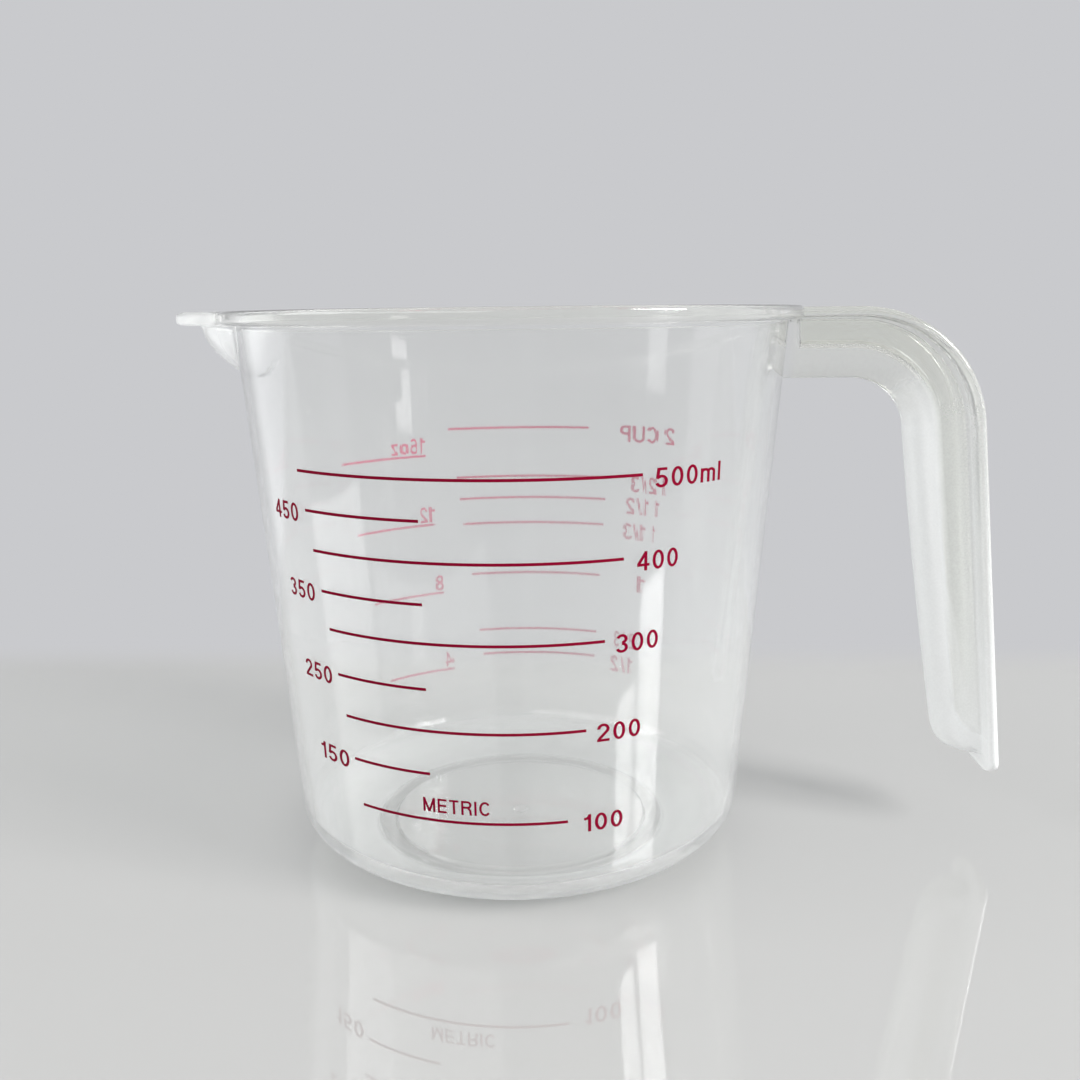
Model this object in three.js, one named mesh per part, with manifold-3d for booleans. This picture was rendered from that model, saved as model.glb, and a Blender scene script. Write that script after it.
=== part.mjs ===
// Measuring jug: one translucent moulding (cup, rim flange, pouring lip and open hook handle)
// with three printed scales of measuring marks round its wall.
// Millimetres, +Z up, handle towards +X, pouring lip towards -X. The jug stands on its foot ring
// at Z = 0, and the origin is the middle of the foot print of the whole jug.

import * as THREE from "three";
import { mergeVertices } from "three/addons/utils/BufferGeometryUtils.js";
import Module from "manifold-3d";

// Cup: a leaning wall on a wide rounded corner
const JUG_HEIGHT = 103.5;
const BASE_RADIUS = 43.05; // outside of the wall, carried down to the table
const TOP_RADIUS = 51.75; // outside of the wall, carried up to the top of the rim
const WALL_THICKNESS = 1.2;
const CORNER_HEIGHT = 8.3; // where the rounded corner runs into the wall
const CORNER_FLOOR = 1.35; // thickness where the corner starts inside
const FOOT_RADIUS = 28; // outer edge of the flat foot ring
const FOOT_WIDTH = 2.2;
const FOOT_CHAMFER = 0.5;
const RECESS_DEPTH = 0.9; // the middle of the underside is lifted off the table
const FLOOR_THICKNESS = 1.4;
const FLOOR_OVERLAP = 0.4; // the raised middle of the inside runs this far past the foot ring
const FLOOR_STEP_WIDTH = 0.7; // its sloping edge, down to the start of the corner
const GATE_RADIUS = 1.5; // stub left by the moulding gate
const GATE_HEIGHT = 0.5;

// Rim flange
const FLANGE_THICKNESS = 2.5;
const FLANGE_WIDTH = 2.6; // beyond the wall
const FLANGE_EDGE = 0.5; // chamfer of its outer edge

// Pouring lip
const LIP_HALF_ANGLE = 21; // degrees either side of -X
const LIP_DEPTH = 10; // how far below the flange the beak starts, in its middle
const LIP_REACH = 8; // of the wall, under the flange
const LIP_FLANGE_REACH = 10.4; // of the flange's edge

// Handle: a strap with a channel pressed into it, open outwards
const HANDLE_DROP = 0.3; // strap below the top of the rim
const BEND_REACH = 64; // bend centre from the jug's axis
const BEND_RADIUS = 23.8; // of the strap's outer face
const LEG_LEAN = 5.8; // degrees out from the vertical, the draft that lets the mould open
const TIP_HEIGHT = 11.6; // lowest point of the strap above the table
const STRAP_WIDTH = 17;
const STRAP_THICKNESS = 1.9;
const CHANNEL_WIDTH = 8.6; // outside, where it leaves the strap
const CHANNEL_DRAFT = 0.45; // each side draws in by this much down to the round bottom
const CHANNEL_WALL = 1.2; // each side, at the bridge
const CHANNEL_END_WALL = 2.9; // each side, at the end of the leg
const CHANNEL_FLOOR = 5.6; // solid plastic under the open channel, at the bridge
const CHANNEL_END_FLOOR = 3.6; // the same at the end of the leg
const BRIDGE_DEPTH = 13.3; // strap's outer face to the bottom of the channel
const LEG_END_DEPTH = 10.3;
const LEG_TAPER_POWER = 1.5; // the leg thins slowly under the bend, then faster
const CHANNEL_END_ROUND = 8; // length of the round end of the channel
const CHANNEL_END_POWER = 3; // of its outside: 2 is an ellipse, more is squarer
const TONGUE_LENGTH = 4; // strap past the end of the channel
const TONGUE_ROUND = 7.4; // length of the strap's round end
const TONGUE_TIP_WIDTH = 3;
const STRAP_EDGE = 0.4; // least strap beside the channel, where the tongue narrows

// Printed marks, placed along the wall from the middle of their side, positive towards the handle
const INK_THICKNESS = 0.12;
const INK_GAP = 0.03;
const MARK_WIDTH = 0.5;
const METRIC_LONG = { 100: 19.4, 200: 35.65, 300: 50.9, 400: 64.4, 500: 77.75 }; // ml: height
const METRIC_SHORT = { 150: 27.9, 250: 43, 350: 57.5, 450: 71.15 };
const METRIC_LEFT = 23.85; // left end of a mark at no volume
const METRIC_LEFT_SPREAD = 0.0261; // more to the left for each ml
const METRIC_RIGHT = 7.45;
const METRIC_RIGHT_SPREAD = 0.0319;
const METRIC_SHORT_END = -12.4;
// cups and height of each mark
const CUP_MARKS = {
  half_cup: [1 / 2, 21.8],
  two_thirds_cup: [2 / 3, 27.7],
  one_cup: [1, 41.4],
  one_and_a_third_cups: [4 / 3, 53.5],
  one_and_a_half_cups: [3 / 2, 59.5],
  one_and_two_thirds_cups: [5 / 3, 64.6],
  two_cups: [2, 76.1],
};
const CUP_LEFT = 8.6;
const CUP_LEFT_SPREAD = 5.3; // for each cup
const CUP_RIGHT = 15.3;
const CUP_RIGHT_SPREAD = 2.6;
const TOP_CUP_RIGHT = 15.2; // the top mark stops short of its wider caption
const OUNCE_MARKS = { 4: 19, 8: 37.6, 12: 54, 16: 70.2 }; // ounces: height
const OUNCE_LEFT = 32.1;
const OUNCE_LEFT_SPREAD = 1; // for each ounce
const OUNCE_RIGHT = 17.1;
const OUNCE_RIGHT_SPREAD = 0.5;

// Fineness of the faceted surfaces
const WALL_FACETS = 72;
const CORNER_STEPS = 6;
const LIP_STEPS = 5;
const BEND_STEPS = 10;
const LEG_STEPS = 4;
const END_STEPS = 6;
const CLOSEST_STOPS = 0.05; // sections of the handle closer than this are one section
const CHANNEL_ARC_STEPS = 4; // of each quarter of its round bottom

const CUT_MARGIN = 3; // how far cutting solids run past what they cut
const WELD_DISTANCE = 0.001; // corners closer than this are one corner

const wasm = await Module();
wasm.setup();

const radians = THREE.MathUtils.degToRad;
const facetAngle = (2 * Math.PI) / WALL_FACETS;
const wallSlope = (TOP_RADIUS - BASE_RADIUS) / JUG_HEIGHT;
const wallRadius = (height) => BASE_RADIUS + wallSlope * height;
const flangeUnderside = JUG_HEIGHT - FLANGE_THICKNESS;
const flangeRadius = wallRadius(flangeUnderside) + FLANGE_WIDTH;
const lipStart = flangeUnderside - LIP_DEPTH;
const lipAzimuth = -Math.PI / 2; // -X, as azimuths run from -Y towards +X
const floorHeight = RECESS_DEPTH + FLOOR_THICKNESS;

// Turns a closed geometry into a solid for joining and cutting.
function solidOf(geometry) {
  const bare = new THREE.BufferGeometry();
  bare.setAttribute("position", geometry.getAttribute("position"));
  bare.setIndex(geometry.index);
  const merged = mergeVertices(bare, WELD_DISTANCE);
  const corners = merged.index.array;
  const kept = [];
  for (let i = 0; i < corners.length; i += 3) {
    const [a, b, c] = corners.subarray(i, i + 3);
    if (a !== b && b !== c && c !== a) kept.push(a, b, c);
  }
  return new wasm.Manifold(
    new wasm.Mesh({
      numProp: 3,
      vertProperties: merged.getAttribute("position").array,
      triVerts: new Uint32Array(kept),
    }),
  );
}

function geometryOf(solid) {
  const { vertProperties, triVerts } = solid.getMesh();
  const geometry = new THREE.BufferGeometry();
  geometry.setAttribute("position", new THREE.BufferAttribute(vertProperties, 3));
  geometry.setIndex(new THREE.BufferAttribute(triVerts, 1));
  geometry.computeVertexNormals();
  return geometry;
}

// A closed solid through sections with equal numbers of points, capped at both ends.
// Each section is listed anticlockwise as seen from the end of the run.
function loft(sections) {
  const count = sections[0].length;
  const positions = sections.flat().flatMap((point) => point.toArray());
  const index = [];
  for (let s = 0; s + 1 < sections.length; s += 1) {
    for (let i = 0; i < count; i += 1) {
      const a = s * count + i;
      const b = s * count + ((i + 1) % count);
      index.push(a, b, a + count, b, b + count, a + count);
    }
  }
  const last = (sections.length - 1) * count;
  for (const [a, b, c] of capFaces(sections[0])) index.push(a, c, b);
  for (const [a, b, c] of capFaces(sections.at(-1))) index.push(last + a, last + b, last + c);
  const geometry = new THREE.BufferGeometry();
  geometry.setAttribute("position", new THREE.Float32BufferAttribute(positions, 3));
  geometry.setIndex(index);
  geometry.computeVertexNormals();
  return geometry;
}

// Triangles over a flat section, turned the same way as its outline.
function capFaces(section) {
  const across = new THREE.Vector3();
  const normal = new THREE.Vector3();
  section.forEach((point, i) => {
    normal.add(across.crossVectors(point, section[(i + 1) % section.length]).clone());
  });
  const plane = new THREE.Quaternion().setFromUnitVectors(
    normal.normalize(),
    new THREE.Vector3(0, 0, 1),
  );
  const outline = section.map((point) => {
    const flat = point.clone().applyQuaternion(plane);
    return new THREE.Vector2(flat.x, flat.y);
  });
  return THREE.ShapeUtils.triangulateShape(outline, []);
}

// Points of a quarter ellipse that leaves a flat floor and runs up into a wall.
function cornerArc(startRadius, startHeight, endRadius, endHeight) {
  const points = [];
  for (let i = 0; i <= CORNER_STEPS; i += 1) {
    const angle = (i / CORNER_STEPS) * (Math.PI / 2);
    points.push(
      new THREE.Vector2(
        startRadius + (endRadius - startRadius) * Math.sin(angle),
        startHeight + (endHeight - startHeight) * (1 - Math.cos(angle)),
      ),
    );
  }
  return points;
}

// Heights of the rings between the start of the beak and the flange.
const lipHeights = Array.from(
  { length: LIP_STEPS + 1 },
  (_, i) => lipStart + (LIP_DEPTH * i) / LIP_STEPS,
);

// How much of the beak there is at an azimuth: 1 in its middle, 0 past its sides.
function lipShare(azimuth) {
  const turn = THREE.MathUtils.euclideanModulo(azimuth - lipAzimuth + Math.PI, 2 * Math.PI);
  const fromMiddle = Math.abs(turn - Math.PI);
  const half = radians(LIP_HALF_ANGLE);
  return fromMiddle < half ? (1 + Math.cos((Math.PI * fromMiddle) / half)) / 2 : 0;
}

// Pulls a revolved shell out into the beak: the wall in a curve up to the flange, the flange further.
// The beak starts lowest in its middle.
function pullLip(geometry, shellRadius) {
  const position = geometry.getAttribute("position");
  for (let i = 0; i < position.count; i += 1) {
    const x = position.getX(i);
    const y = position.getY(i);
    const height = position.getZ(i);
    const radius = Math.hypot(x, y);
    const share = lipShare(Math.atan2(x, -y));
    if (share === 0 || height < lipStart || radius < shellRadius(lipStart)) continue;
    const depth = LIP_DEPTH * Math.sqrt(share);
    const rise = THREE.MathUtils.clamp(1 - (flangeUnderside - height) / depth, 0, 1);
    const past = THREE.MathUtils.clamp((radius - shellRadius(height)) / FLANGE_WIDTH, 0, 1);
    const reach = LIP_REACH * (1 - (1 - rise) ** 2) + (LIP_FLANGE_REACH - LIP_REACH) * past;
    const pull = 1 + (reach * share) / radius;
    position.setXY(i, x * pull, y * pull);
  }
}

function revolve(profile, shellRadius) {
  const geometry = new THREE.LatheGeometry(profile, WALL_FACETS);
  geometry.rotateX(Math.PI / 2);
  pullLip(geometry, shellRadius);
  return solidOf(geometry);
}

// The cup as if it were full: foot, corner, wall and flange.
function fullCup() {
  const inner = FOOT_RADIUS - FOOT_WIDTH;
  const profile = [
    new THREE.Vector2(0, RECESS_DEPTH - GATE_HEIGHT),
    new THREE.Vector2(GATE_RADIUS, RECESS_DEPTH - GATE_HEIGHT),
    new THREE.Vector2(GATE_RADIUS, RECESS_DEPTH),
    new THREE.Vector2(inner - FOOT_CHAMFER, RECESS_DEPTH),
    new THREE.Vector2(inner, 0),
    ...cornerArc(FOOT_RADIUS, 0, wallRadius(CORNER_HEIGHT), CORNER_HEIGHT),
    ...lipHeights.map((height) => new THREE.Vector2(wallRadius(height), height)),
    new THREE.Vector2(flangeRadius - FLANGE_EDGE, flangeUnderside),
    new THREE.Vector2(flangeRadius, flangeUnderside + FLANGE_EDGE),
    new THREE.Vector2(flangeRadius, JUG_HEIGHT - FLANGE_EDGE),
    new THREE.Vector2(flangeRadius - FLANGE_EDGE, JUG_HEIGHT),
    new THREE.Vector2(0, JUG_HEIGHT),
  ];
  return revolve(profile, wallRadius);
}

// The space inside the cup, carried up past the rim.
function cupSpace() {
  const innerRadius = (height) => wallRadius(height) - WALL_THICKNESS;
  const cornerTop = CORNER_HEIGHT + WALL_THICKNESS;
  const floorRadius = FOOT_RADIUS + FLOOR_OVERLAP;
  const top = JUG_HEIGHT + CUT_MARGIN;
  const profile = [
    new THREE.Vector2(0, floorHeight),
    new THREE.Vector2(floorRadius, floorHeight),
    ...cornerArc(floorRadius + FLOOR_STEP_WIDTH, CORNER_FLOOR, innerRadius(cornerTop), cornerTop),
    ...lipHeights.map((height) => new THREE.Vector2(innerRadius(height), height)),
    new THREE.Vector2(innerRadius(top), top),
    new THREE.Vector2(0, top),
  ];
  return revolve(profile, innerRadius);
}

// One side of the channel from the strap to the middle of its round bottom, as [across, depth] pairs.
function channelSide(halfWidth, draft, from, depth) {
  const bottomHalf = halfWidth - draft;
  const round = Math.min(bottomHalf, depth - from);
  const points = [[halfWidth, from]];
  for (let i = 0; i <= CHANNEL_ARC_STEPS; i += 1) {
    const angle = (i / CHANNEL_ARC_STEPS) * (Math.PI / 2);
    points.push([bottomHalf * Math.cos(angle), depth - round * (1 - Math.sin(angle))]);
  }
  return points;
}

const mirrored = (points) => points.map(([across, depth]) => [-across, depth]);

// Section of the strap with its channel: the open side first, then the side towards the cup.
// Towards the tip the channel narrows with the strap.
function handleSection(halfStrap, depth, openDepth, wall) {
  const halfChannel = Math.min(CHANNEL_WIDTH / 2, halfStrap - STRAP_EDGE);
  const narrowing = halfChannel / (CHANNEL_WIDTH / 2);
  const draft = CHANNEL_DRAFT * narrowing;
  const open = channelSide(halfChannel - wall * narrowing, draft, 0, openDepth);
  const closed = channelSide(halfChannel, draft, STRAP_THICKNESS, depth);
  return [
    [halfStrap, 0],
    ...open,
    ...mirrored(open.slice(0, -1)).reverse(),
    [-halfStrap, 0],
    [-halfStrap, STRAP_THICKNESS],
    ...mirrored(closed),
    ...closed.slice(0, -1).reverse(),
    [halfStrap, STRAP_THICKNESS],
  ];
}

// Places along the strap's outer face: a point and the way out of the face in the XZ plane, the
// length left to the tip, and whether the channel is open there. It opens at the flange's edge.
function handlePath() {
  const strapTop = JUG_HEIGHT - HANDLE_DROP;
  const lean = radians(LEG_LEAN);
  const up = new THREE.Vector2(0, 1);
  const centre = new THREE.Vector2(BEND_REACH, strapTop - BEND_RADIUS);
  const onBridge = (reach, open) => {
    const point = new THREE.Vector2(reach, strapTop);
    return { point, out: up, left: Infinity, open };
  };
  const stations = [
    onBridge(BASE_RADIUS, false),
    onBridge(flangeRadius - CHANNEL_WALL, false),
    onBridge(flangeRadius, true),
  ];
  for (let i = 0; i <= BEND_STEPS; i += 1) {
    const angle = THREE.MathUtils.lerp(Math.PI / 2, lean, i / BEND_STEPS);
    const out = new THREE.Vector2(Math.cos(angle), Math.sin(angle));
    const point = out.clone().multiplyScalar(BEND_RADIUS).add(centre);
    stations.push({ point, out, left: Infinity, open: true });
  }
  const knee = stations.at(-1);
  const down = new THREE.Vector2(Math.sin(lean), -Math.cos(lean));
  const legLength = (knee.point.y - TIP_HEIGHT) / Math.cos(lean);
  const channelEnd = TONGUE_LENGTH + CHANNEL_END_ROUND;
  const stops = [];
  for (let i = 1; i < LEG_STEPS; i += 1) {
    stops.push(THREE.MathUtils.lerp(legLength, channelEnd + CHANNEL_END_FLOOR, i / LEG_STEPS));
  }
  for (let i = 0; i <= END_STEPS; i += 1) {
    const used = Math.sin((i / END_STEPS) * (Math.PI / 2));
    stops.push(TONGUE_LENGTH + CHANNEL_END_ROUND * (1 - used));
    stops.push(TONGUE_LENGTH + CHANNEL_END_FLOOR + CHANNEL_END_ROUND * (1 - used));
    stops.push(TONGUE_ROUND * (1 - used));
  }
  stops.sort((a, b) => b - a);
  for (const left of stops.filter((stop, i) => i === 0 || stops[i - 1] - stop > CLOSEST_STOPS)) {
    const point = down.clone().multiplyScalar(legLength - left).add(knee.point);
    stations.push({ point, out: knee.out, left, open: true });
  }
  return { stations, legLength };
}

// Round fall from 1 to 0 as a run of the given length is used up, squarer with a higher power.
function roundEnd(left, length, power = 2) {
  const used = 1 - THREE.MathUtils.clamp(left / length, 0, 1);
  return (1 - used ** power) ** (1 / power);
}

function handle() {
  const { stations, legLength } = handlePath();
  const sections = stations.map(({ point, out, left, open }) => {
    const halfTip = TONGUE_TIP_WIDTH / 2;
    const halfStrap = THREE.MathUtils.lerp(halfTip, STRAP_WIDTH / 2, roundEnd(left, TONGUE_ROUND));
    const channelLeft = left - TONGUE_LENGTH;
    const used = 1 - THREE.MathUtils.clamp(channelLeft / (legLength - TONGUE_LENGTH), 0, 1);
    const taper = used ** LEG_TAPER_POWER;
    const fullDepth = THREE.MathUtils.lerp(BRIDGE_DEPTH, LEG_END_DEPTH, taper);
    const floor = THREE.MathUtils.lerp(CHANNEL_FLOOR, CHANNEL_END_FLOOR, taper);
    const wall = THREE.MathUtils.lerp(CHANNEL_WALL, CHANNEL_END_WALL, taper);
    const endRound = roundEnd(channelLeft, CHANNEL_END_ROUND, CHANNEL_END_POWER);
    const below = (fullDepth - STRAP_THICKNESS) * endRound;
    const openRound = roundEnd(channelLeft - CHANNEL_END_FLOOR, CHANNEL_END_ROUND);
    const openDepth = open ? (fullDepth - floor) * openRound : 0;
    return handleSection(halfStrap, STRAP_THICKNESS + below, openDepth, wall).map(
      ([across, depth]) =>
        new THREE.Vector3(point.x - out.x * depth, across, point.y - out.y * depth),
    );
  });
  return solidOf(loft(sections));
}

// A point on the faceted outside of the wall, set off outwards.
function wallPoint(azimuth, height, offset) {
  const inFacet = THREE.MathUtils.euclideanModulo(azimuth, facetAngle) - facetAngle / 2;
  const radius = (wallRadius(height) * Math.cos(facetAngle / 2)) / Math.cos(inFacet) + offset;
  return new THREE.Vector3(radius * Math.sin(azimuth), -radius * Math.cos(azimuth), height);
}

// A printed mark between two azimuths, bent with the facets of the wall.
function markGeometry(start, end, height) {
  const azimuths = [start];
  for (let k = Math.ceil(start / facetAngle); k * facetAngle < end; k += 1) {
    if (k * facetAngle > start) azimuths.push(k * facetAngle);
  }
  azimuths.push(end);
  const low = height - MARK_WIDTH / 2;
  const high = height + MARK_WIDTH / 2;
  return loft(
    azimuths.map((azimuth) => [
      wallPoint(azimuth, low, INK_GAP),
      wallPoint(azimuth, high, INK_GAP),
      wallPoint(azimuth, high, INK_GAP + INK_THICKNESS),
      wallPoint(azimuth, low, INK_GAP + INK_THICKNESS),
    ]),
  );
}

const ink = new THREE.MeshStandardMaterial({ color: 0xa3173f, roughness: 0.5, metalness: 0 });
const clearPlastic = new THREE.MeshStandardMaterial({
  color: 0xe6e9ea,
  roughness: 0.25,
  metalness: 0,
  transparent: true,
  opacity: 0.45,
});

function named(name, geometry, material) {
  const mesh = new THREE.Mesh(geometry, material);
  mesh.name = name;
  return mesh;
}

// Lengths along the wall become angles at the mark's height. The back is read from the other side.
function frontMark(name, left, right, height) {
  const radius = wallRadius(height);
  return named(name, markGeometry(left / radius, right / radius, height), ink);
}

function backMark(name, left, right, height) {
  const radius = wallRadius(height);
  return named(name, markGeometry(Math.PI - right / radius, Math.PI - left / radius, height), ink);
}

function metricMarks() {
  const left = (ml) => -(METRIC_LEFT + METRIC_LEFT_SPREAD * ml);
  const long = Object.entries(METRIC_LONG).map(([ml, height]) =>
    frontMark(`mark_${ml}_ml`, left(ml), METRIC_RIGHT + METRIC_RIGHT_SPREAD * ml, height),
  );
  const short = Object.entries(METRIC_SHORT).map(([ml, height]) =>
    frontMark(`mark_${ml}_ml`, left(ml), METRIC_SHORT_END, height),
  );
  return [...long, ...short];
}

function cupMarks() {
  const top = Math.max(...Object.values(CUP_MARKS).map(([cups]) => cups));
  return Object.entries(CUP_MARKS).map(([name, [cups, height]]) => {
    const right = cups === top ? TOP_CUP_RIGHT : CUP_RIGHT + CUP_RIGHT_SPREAD * cups;
    return backMark(`mark_${name}`, -(CUP_LEFT + CUP_LEFT_SPREAD * cups), right, height);
  });
}

function ounceMarks() {
  return Object.entries(OUNCE_MARKS).map(([ounces, height]) =>
    backMark(
      `mark_${ounces}_oz`,
      -(OUNCE_LEFT + OUNCE_LEFT_SPREAD * ounces),
      -(OUNCE_RIGHT + OUNCE_RIGHT_SPREAD * ounces),
      height,
    ),
  );
}

const moulding = geometryOf(fullCup().add(handle()).subtract(cupSpace()));
moulding.computeBoundingBox();
const middle = moulding.boundingBox.getCenter(new THREE.Vector3());

const jug = new THREE.Group();
jug.name = "measuring_jug";
jug.add(named("jug_body", moulding, clearPlastic));
jug.add(...metricMarks(), ...cupMarks(), ...ounceMarks());
jug.position.set(-middle.x, 0, 0);

export default jug;
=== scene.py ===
"""Looks of a clear moulded measuring jug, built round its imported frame.

Lengths in the size classes are millimetres, as a maker would read them off a drawing. Meshes are in
metres, in the frame's own axes: +Z up, handle towards +X, pouring lip towards -X, metric scale facing -Y.
"""

import logging
import math
from dataclasses import dataclass
from enum import Enum
from typing import Any, Callable, Iterable, Sequence

import bpy
import numpy as np
from mathutils import Matrix, Quaternion, Vector
from mathutils.geometry import delaunay_2d_cdt
from mathutils.kdtree import KDTree


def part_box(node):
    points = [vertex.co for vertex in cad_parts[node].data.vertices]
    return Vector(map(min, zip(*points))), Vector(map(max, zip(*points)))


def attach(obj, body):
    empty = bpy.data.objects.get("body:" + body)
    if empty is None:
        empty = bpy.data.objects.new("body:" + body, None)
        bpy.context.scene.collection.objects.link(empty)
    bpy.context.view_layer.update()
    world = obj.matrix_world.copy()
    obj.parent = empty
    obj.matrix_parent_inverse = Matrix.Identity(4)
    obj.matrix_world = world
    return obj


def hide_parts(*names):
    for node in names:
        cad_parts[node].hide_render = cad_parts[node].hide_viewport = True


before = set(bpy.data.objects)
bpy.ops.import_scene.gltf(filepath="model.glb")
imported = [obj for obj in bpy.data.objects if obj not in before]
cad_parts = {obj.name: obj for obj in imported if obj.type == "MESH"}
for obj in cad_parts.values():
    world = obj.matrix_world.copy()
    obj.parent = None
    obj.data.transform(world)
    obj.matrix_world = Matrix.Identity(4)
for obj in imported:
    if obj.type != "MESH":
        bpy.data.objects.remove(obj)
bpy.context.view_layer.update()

MM = 0.001
WELD = 1e-7  # metres within which points are one
TINY = 1e-6  # too small a length to count
BODY = "root"
MILK = "milk"  # name under which the handle's share of haze is stored
PRINCIPLED = "ShaderNodeBsdfPrincipled"
log = logging.getLogger("measuring_jug")

Point2 = tuple[float, float]
Colour = tuple[float, float, float]
Face = tuple[int, ...]


class Slot(Enum):
    """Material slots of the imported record."""

    PLASTIC = "clear_plastic"
    INK = "ink"


class Facing(Enum):
    """Sides of the wall that carry printing, as the azimuth of their middle from -Y towards +X."""

    FRONT = 0.0
    BACK = math.pi


def math_node(operation: str, swapped: bool = False) -> Callable[..., "Wire"]:
    """Makes a method of Wire that adds one Math node.

    Args:
        operation: what the node does.
        swapped: whether the wire itself is the last of the values.

    Returns:
        The method, which takes the other values.
    """

    def method(wire: "Wire", *others: Any) -> "Wire":
        """Adds the node over the wire and the other values."""
        values = (*others, wire) if swapped else (wire, *others)
        return wire.sheet.add("ShaderNodeMath", {"operation": operation}, dict(enumerate(values)))

    return method


class Wire:
    """A node's output that takes part in arithmetic: each operation adds one Math node."""

    __add__ = __radd__ = math_node("ADD")
    __sub__ = math_node("SUBTRACT")
    __rsub__ = math_node("SUBTRACT", swapped=True)
    __mul__ = __rmul__ = math_node("MULTIPLY")
    __truediv__ = math_node("DIVIDE")
    __rtruediv__ = math_node("DIVIDE", swapped=True)
    __mod__ = math_node("MODULO")
    __rmod__ = math_node("MODULO", swapped=True)
    __pow__ = math_node("POWER")
    __rpow__ = math_node("POWER", swapped=True)
    sine = math_node("SINE")
    cosine = math_node("COSINE")
    floor = math_node("FLOOR")
    size = math_node("ABSOLUTE")
    least = math_node("MINIMUM")
    most = math_node("MAXIMUM")
    wrap = math_node("WRAP")

    def __init__(self, sheet: "NodeSheet", socket: bpy.types.NodeSocket | None) -> None:
        """Keeps the socket and the sheet that its tree is drawn on."""
        self.sheet = sheet
        self.socket = socket


class NodeSheet:
    """A node tree that is drawn by one method, for shaders and geometry alike."""

    def __init__(self, tree: bpy.types.NodeTree) -> None:
        """Keeps the tree."""
        self.tree = tree

    def add(
        self,
        kind: str,
        settings: dict[str, Any] | None = None,
        sockets: dict[Any, Any] | None = None,
        output: str | None = None,
    ) -> Wire:
        """Adds a node.

        Args:
            kind: the node's type.
            settings: its own properties.
            sockets: values or wires for its inputs, by number, identifier or name.
            output: name of the output to take; the first one in use if left out.

        Returns:
            The chosen output.
        """
        node = self.tree.nodes.new(kind)
        for name, value in (settings or {}).items():
            setattr(node, name, value)
        for key, value in (sockets or {}).items():
            self.plug(self._input(node, key), value)
        shown = [socket for socket in node.outputs if socket.enabled]
        if output is not None:
            shown = [socket for socket in shown if socket.name == output]
        return Wire(self, shown[0]) if shown else Wire(self, None)

    def plug(self, socket: bpy.types.NodeSocket, value: Any) -> None:
        """Links a wire to an input, or sets the input's own value.

        Args:
            socket: the input.
            value: a wire or a plain value; a colour may leave out its alpha.
        """
        if isinstance(value, Wire):
            self.tree.links.new(value.socket, socket)
        elif isinstance(value, (list, tuple)) and socket.type == "RGBA" and len(value) == 3:
            socket.default_value = (*value, 1.0)
        else:
            socket.default_value = value

    def ramp(self, value: Wire, start: float, end: float) -> Wire:
        """Smooth rise from 0 where a value is at the start to 1 where it is at the end."""
        soft = {"interpolation_type": "SMOOTHSTEP"}
        return self.add("ShaderNodeMapRange", soft, {"Value": value, "From Min": start, "From Max": end})

    def split(self, vector: Wire, axes: str) -> list[Wire]:
        """Chosen parts of a vector, such as XZ."""
        return [self.add("ShaderNodeSeparateXYZ", None, {"Vector": vector}, axis) for axis in axes]

    def noise(self, vector: Wire, scale: float, detail: float) -> Wire:
        """Soft noise round 0.5."""
        sockets = {"Vector": vector, "Scale": scale, "Detail": detail}
        return self.add("ShaderNodeTexNoise", None, sockets, "Fac")

    def blend(self, share: Wire, first: Any, second: Any) -> Wire:
        """Colour between two colours."""
        sockets = {"Factor_Float": share, "A_Color": first, "B_Color": second}
        return self.add("ShaderNodeMix", {"data_type": "RGBA"}, sockets)

    def layer(self, share: Wire, first: Wire, second: Wire) -> Wire:
        """Surface between two surfaces."""
        return self.add("ShaderNodeMixShader", None, {0: share, 1: first, 2: second})

    @staticmethod
    def _input(node: bpy.types.Node, key: Any) -> bpy.types.NodeSocket:
        """Finds an input.

        Args:
            node: whose input it is.
            key: its number, identifier or name.

        Returns:
            The input.
        """
        if isinstance(key, int):
            return node.inputs[key]
        for socket in node.inputs:
            if socket.identifier == key:
                return socket
        return next(s for s in node.inputs if s.name == key and s.enabled)


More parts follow.
